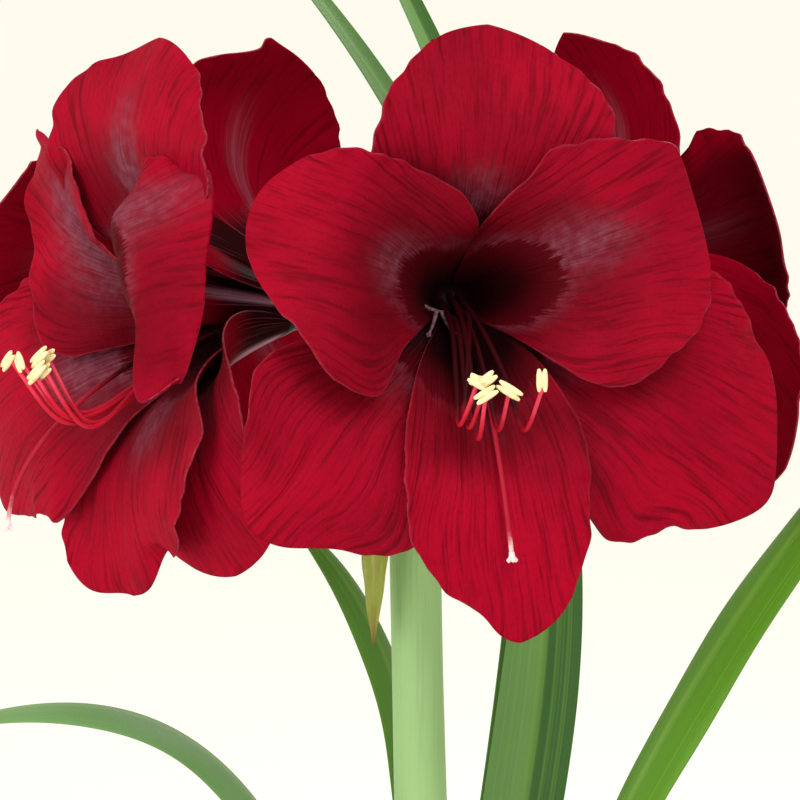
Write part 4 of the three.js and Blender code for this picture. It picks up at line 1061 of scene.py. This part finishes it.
filament_material = finish("filament_red", filament_paint, 0.1, specular_ior_level=0.1)
style_material = finish("style_red", style_paint, 0.1, specular_ior_level=0.1)
anther_material = finish("anther_cream", anther_paint, 0.3, specular_ior_level=0.15)
stigma_material = finish("stigma_pale", grainy(900, 0.4, 0.8, STIGMA_PALE, FILAMENT_PINK, 0.4), 0.2,
                         specular_ior_level=0.4)
scale_material = finish("throat_scale", grainy(800, 0.35, 0.65, SCALE_DARK, SCALE_PINK), 0.2,
                        specular_ior_level=0.2)
throat_scales = []
for name, (made, mirror) in STAMENS.items():
    into_plant = placed(BLOOM_PLACES[name])

    def place(points):
        return into_plant(np.asarray(points, float) * (mirror, 1, 1))

    threads, pods = [], []
    for k, ((start, end, held), low) in enumerate(zip(made["anthers"], made["lows"])):
        start, end = np.array(start, float), np.array(end, float)
        out_by = (k - 2.5) * FILAMENT_STEP
        deep = math.sqrt(FILAMENT_RING ** 2 - out_by ** 2) * (1 if k % 2 == 0 else -1)
        runs = [(lerp(out_by, low[0], share), y + 1.2 * (k % 3), z) for share, y, z in made["runs"]]
        route = [(out_by, deep, DISC_END - 0.6), *runs, low, lerp(start, end, held)]
        line = place(eased_profile(route, 16))
        threads.append(laid(f"filament_{k}", rod(line, np.linspace(*FILAMENT_RADII, len(line)),
                                               THREAD_SIDES)))
        apart = np.cross(end - start, (0, 0, 1.0))
        apart /= np.linalg.norm(apart)
        share = np.linspace(0, 1, POD_ROWS)[:, None]
        for side in (-1, 1):
            splay = side * (0.85 + 0.25 * (2 * share - 1) ** 2)
            pod_line = place(lerp(start, end, share * 1.1 - 0.05) + apart * splay)
            pod_radii = ANTHER_LOBE * np.sin(np.pi * (0.02 + 0.96 * share[:, 0])) ** 0.4
            pods.append(laid(f"anther_{k}", rod(pod_line, pod_radii, POD_SIDES)))
    disc = place([(0, 0, 7.4), (0, 0, 8.6), (0, 0, DISC_END)])
    threads.append(laid("disc", rod(disc, [5.6, 5.8, 5.0], DISC_SIDES)))
    filaments = joined("filaments_" + name, threads)
    marked(filaments, "dark_to", [made["dark_to"]] * len(filaments.data.vertices))
    anthers = joined("anthers_" + name, pods)
    x, y, z = made["style"]
    route = [(0, 0, DISC_END - 0.6), (0.2 * x, 0.02 * y, 45), (0.5 * x, 0.5 * y, z * 0.98), (x, y, z)]
    line, ahead = even(list(place(route)), np.linspace(0, 1, STYLE_ROWS))
    style = laid("style_" + name, rod(line, np.linspace(*STYLE_RADII, STYLE_ROWS), THREAD_SIDES))
    lobes = []
    side = np.cross(ahead[-1], (0, 0.3, 1.0))
    side /= np.linalg.norm(side)
    for k in range(3):
        turn = 2 * math.pi * k / 3 + 0.5
        away = side * math.cos(turn) + np.cross(ahead[-1], side) * math.sin(turn)
        tip = line[-1] + ahead[-1] * 2.0 + away * 1.8
        lobe, _ = even([line[-1] - ahead[-1], line[-1] + ahead[-1] * 1.2, tip], np.linspace(0, 1, 14))
        lobes.append(laid(f"lobe_{k}", rod(lobe, np.linspace(1.0, 0.75, 14), THREAD_SIDES)))
    stigma = joined("stigma_" + name, lobes)
    for piece, material in ((filaments, filament_material), (anthers, anther_material),
                            (style, style_material), (stigma, stigma_material)):
        piece.data.materials.append(material)
        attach(piece, "root")
    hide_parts("stamens_" + name)
    for k, route in enumerate(SCALES):
        line = place(eased_profile(route, 12))
        radii = np.r_[np.linspace(0.9, 0.45, len(line) - 5), 0.7, 1.0, 1.1, 0.8, 0.4]
        throat_scales.append(laid(f"scale_{name}_{k}", rod(line, radii, 10)))
scales = joined("throat_scales", throat_scales)
scales.data.materials.append(scale_material)
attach(scales, "root")

# The plant stands on a plain cream floor in soft studio light, a large lamp high on the right and
# a weaker one on the left, seen from a little above the blooms.
FLOOR_SIZE = 1600
FLOOR_CREAM = (0.345, 0.336, 0.304, 1)
FLOOR_PALE = (0.352, 0.343, 0.310, 1)
STUDIO_AIR = (1.0, 0.985, 0.915, 1)
FLOOR_GLOW = (1.0, 0.962, 0.868, 1)
FLOOR_LIGHT = 0.655
STUDIO_LIGHT = 1.02
LAMPS = (("key", (0.5, -1.6, 1.9), 0.9, 24), ("fill", (-1.5, -1.2, 0.9), 1.2, 22),
         ("back", (0.4, 1.4, 1.7), 1.0, 14))
bpy.ops.mesh.primitive_plane_add(size=FLOOR_SIZE)
floor = bpy.context.object
floor.name = "floor"


def floor_paint(place, grid):
    grain = place.noise(3, 2)
    return grain.mix(FLOOR_CREAM, FLOOR_PALE), 0.9 + grain * 0.05, grain


floor.data.materials.append(finish("studio_floor", floor_paint, 0.02, specular_ior_level=0.0,
                                   emission_color=FLOOR_GLOW, emission_strength=FLOOR_LIGHT))
floor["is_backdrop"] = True

world = bpy.data.worlds.new("studio")
bpy.context.scene.world = world
world.use_nodes = True
world.node_tree.nodes["Background"].inputs["Color"].default_value = STUDIO_AIR
world.node_tree.nodes["Background"].inputs["Strength"].default_value = STUDIO_LIGHT

for name, spot, size, power in LAMPS:
    bpy.ops.object.light_add(type="AREA", location=spot)
    lamp = bpy.context.object
    lamp.name = name
    lamp.data.size = size
    lamp.data.energy = power
    aim = np.array([0, 0, 0.6]) - spot
    lamp.rotation_mode = "QUATERNION"
    lamp.rotation_quaternion = Vector(aim).to_track_quat("-Z", "Y")

LENS = 150
SENSOR = 36
CLIP_END = 2000
ELEVATION = math.radians(8)
DISTANCE = 1290
UMBEL_PIXEL = (412, 320)
IMAGE = 800
mm_per_pixel = DISTANCE * SENSOR / (IMAGE * LENS)
ahead = np.array([0, math.cos(ELEVATION), -math.sin(ELEVATION)])
up = np.array([0, math.sin(ELEVATION), math.cos(ELEVATION)])
right = np.array([1.0, 0, 0])
target = np.array(UMBEL, float) - right * (UMBEL_PIXEL[0] - IMAGE / 2) * mm_per_pixel \
    - up * (IMAGE / 2 - UMBEL_PIXEL[1]) * mm_per_pixel
bpy.ops.object.camera_add(location=(target - ahead * DISTANCE) * MM)
camera = bpy.context.object
camera.data.lens = LENS
camera.data.sensor_width = SENSOR
camera.data.clip_end = CLIP_END
camera.rotation_mode = "QUATERNION"
camera.rotation_quaternion = Vector(ahead).to_track_quat("-Z", "Y")
bpy.context.scene.camera = camera
bpy.context.scene.view_settings.view_transform = "Standard"

low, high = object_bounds()
{"cad": [list(cad_low), list(cad_high)], "visual": [list(low), list(high)]}
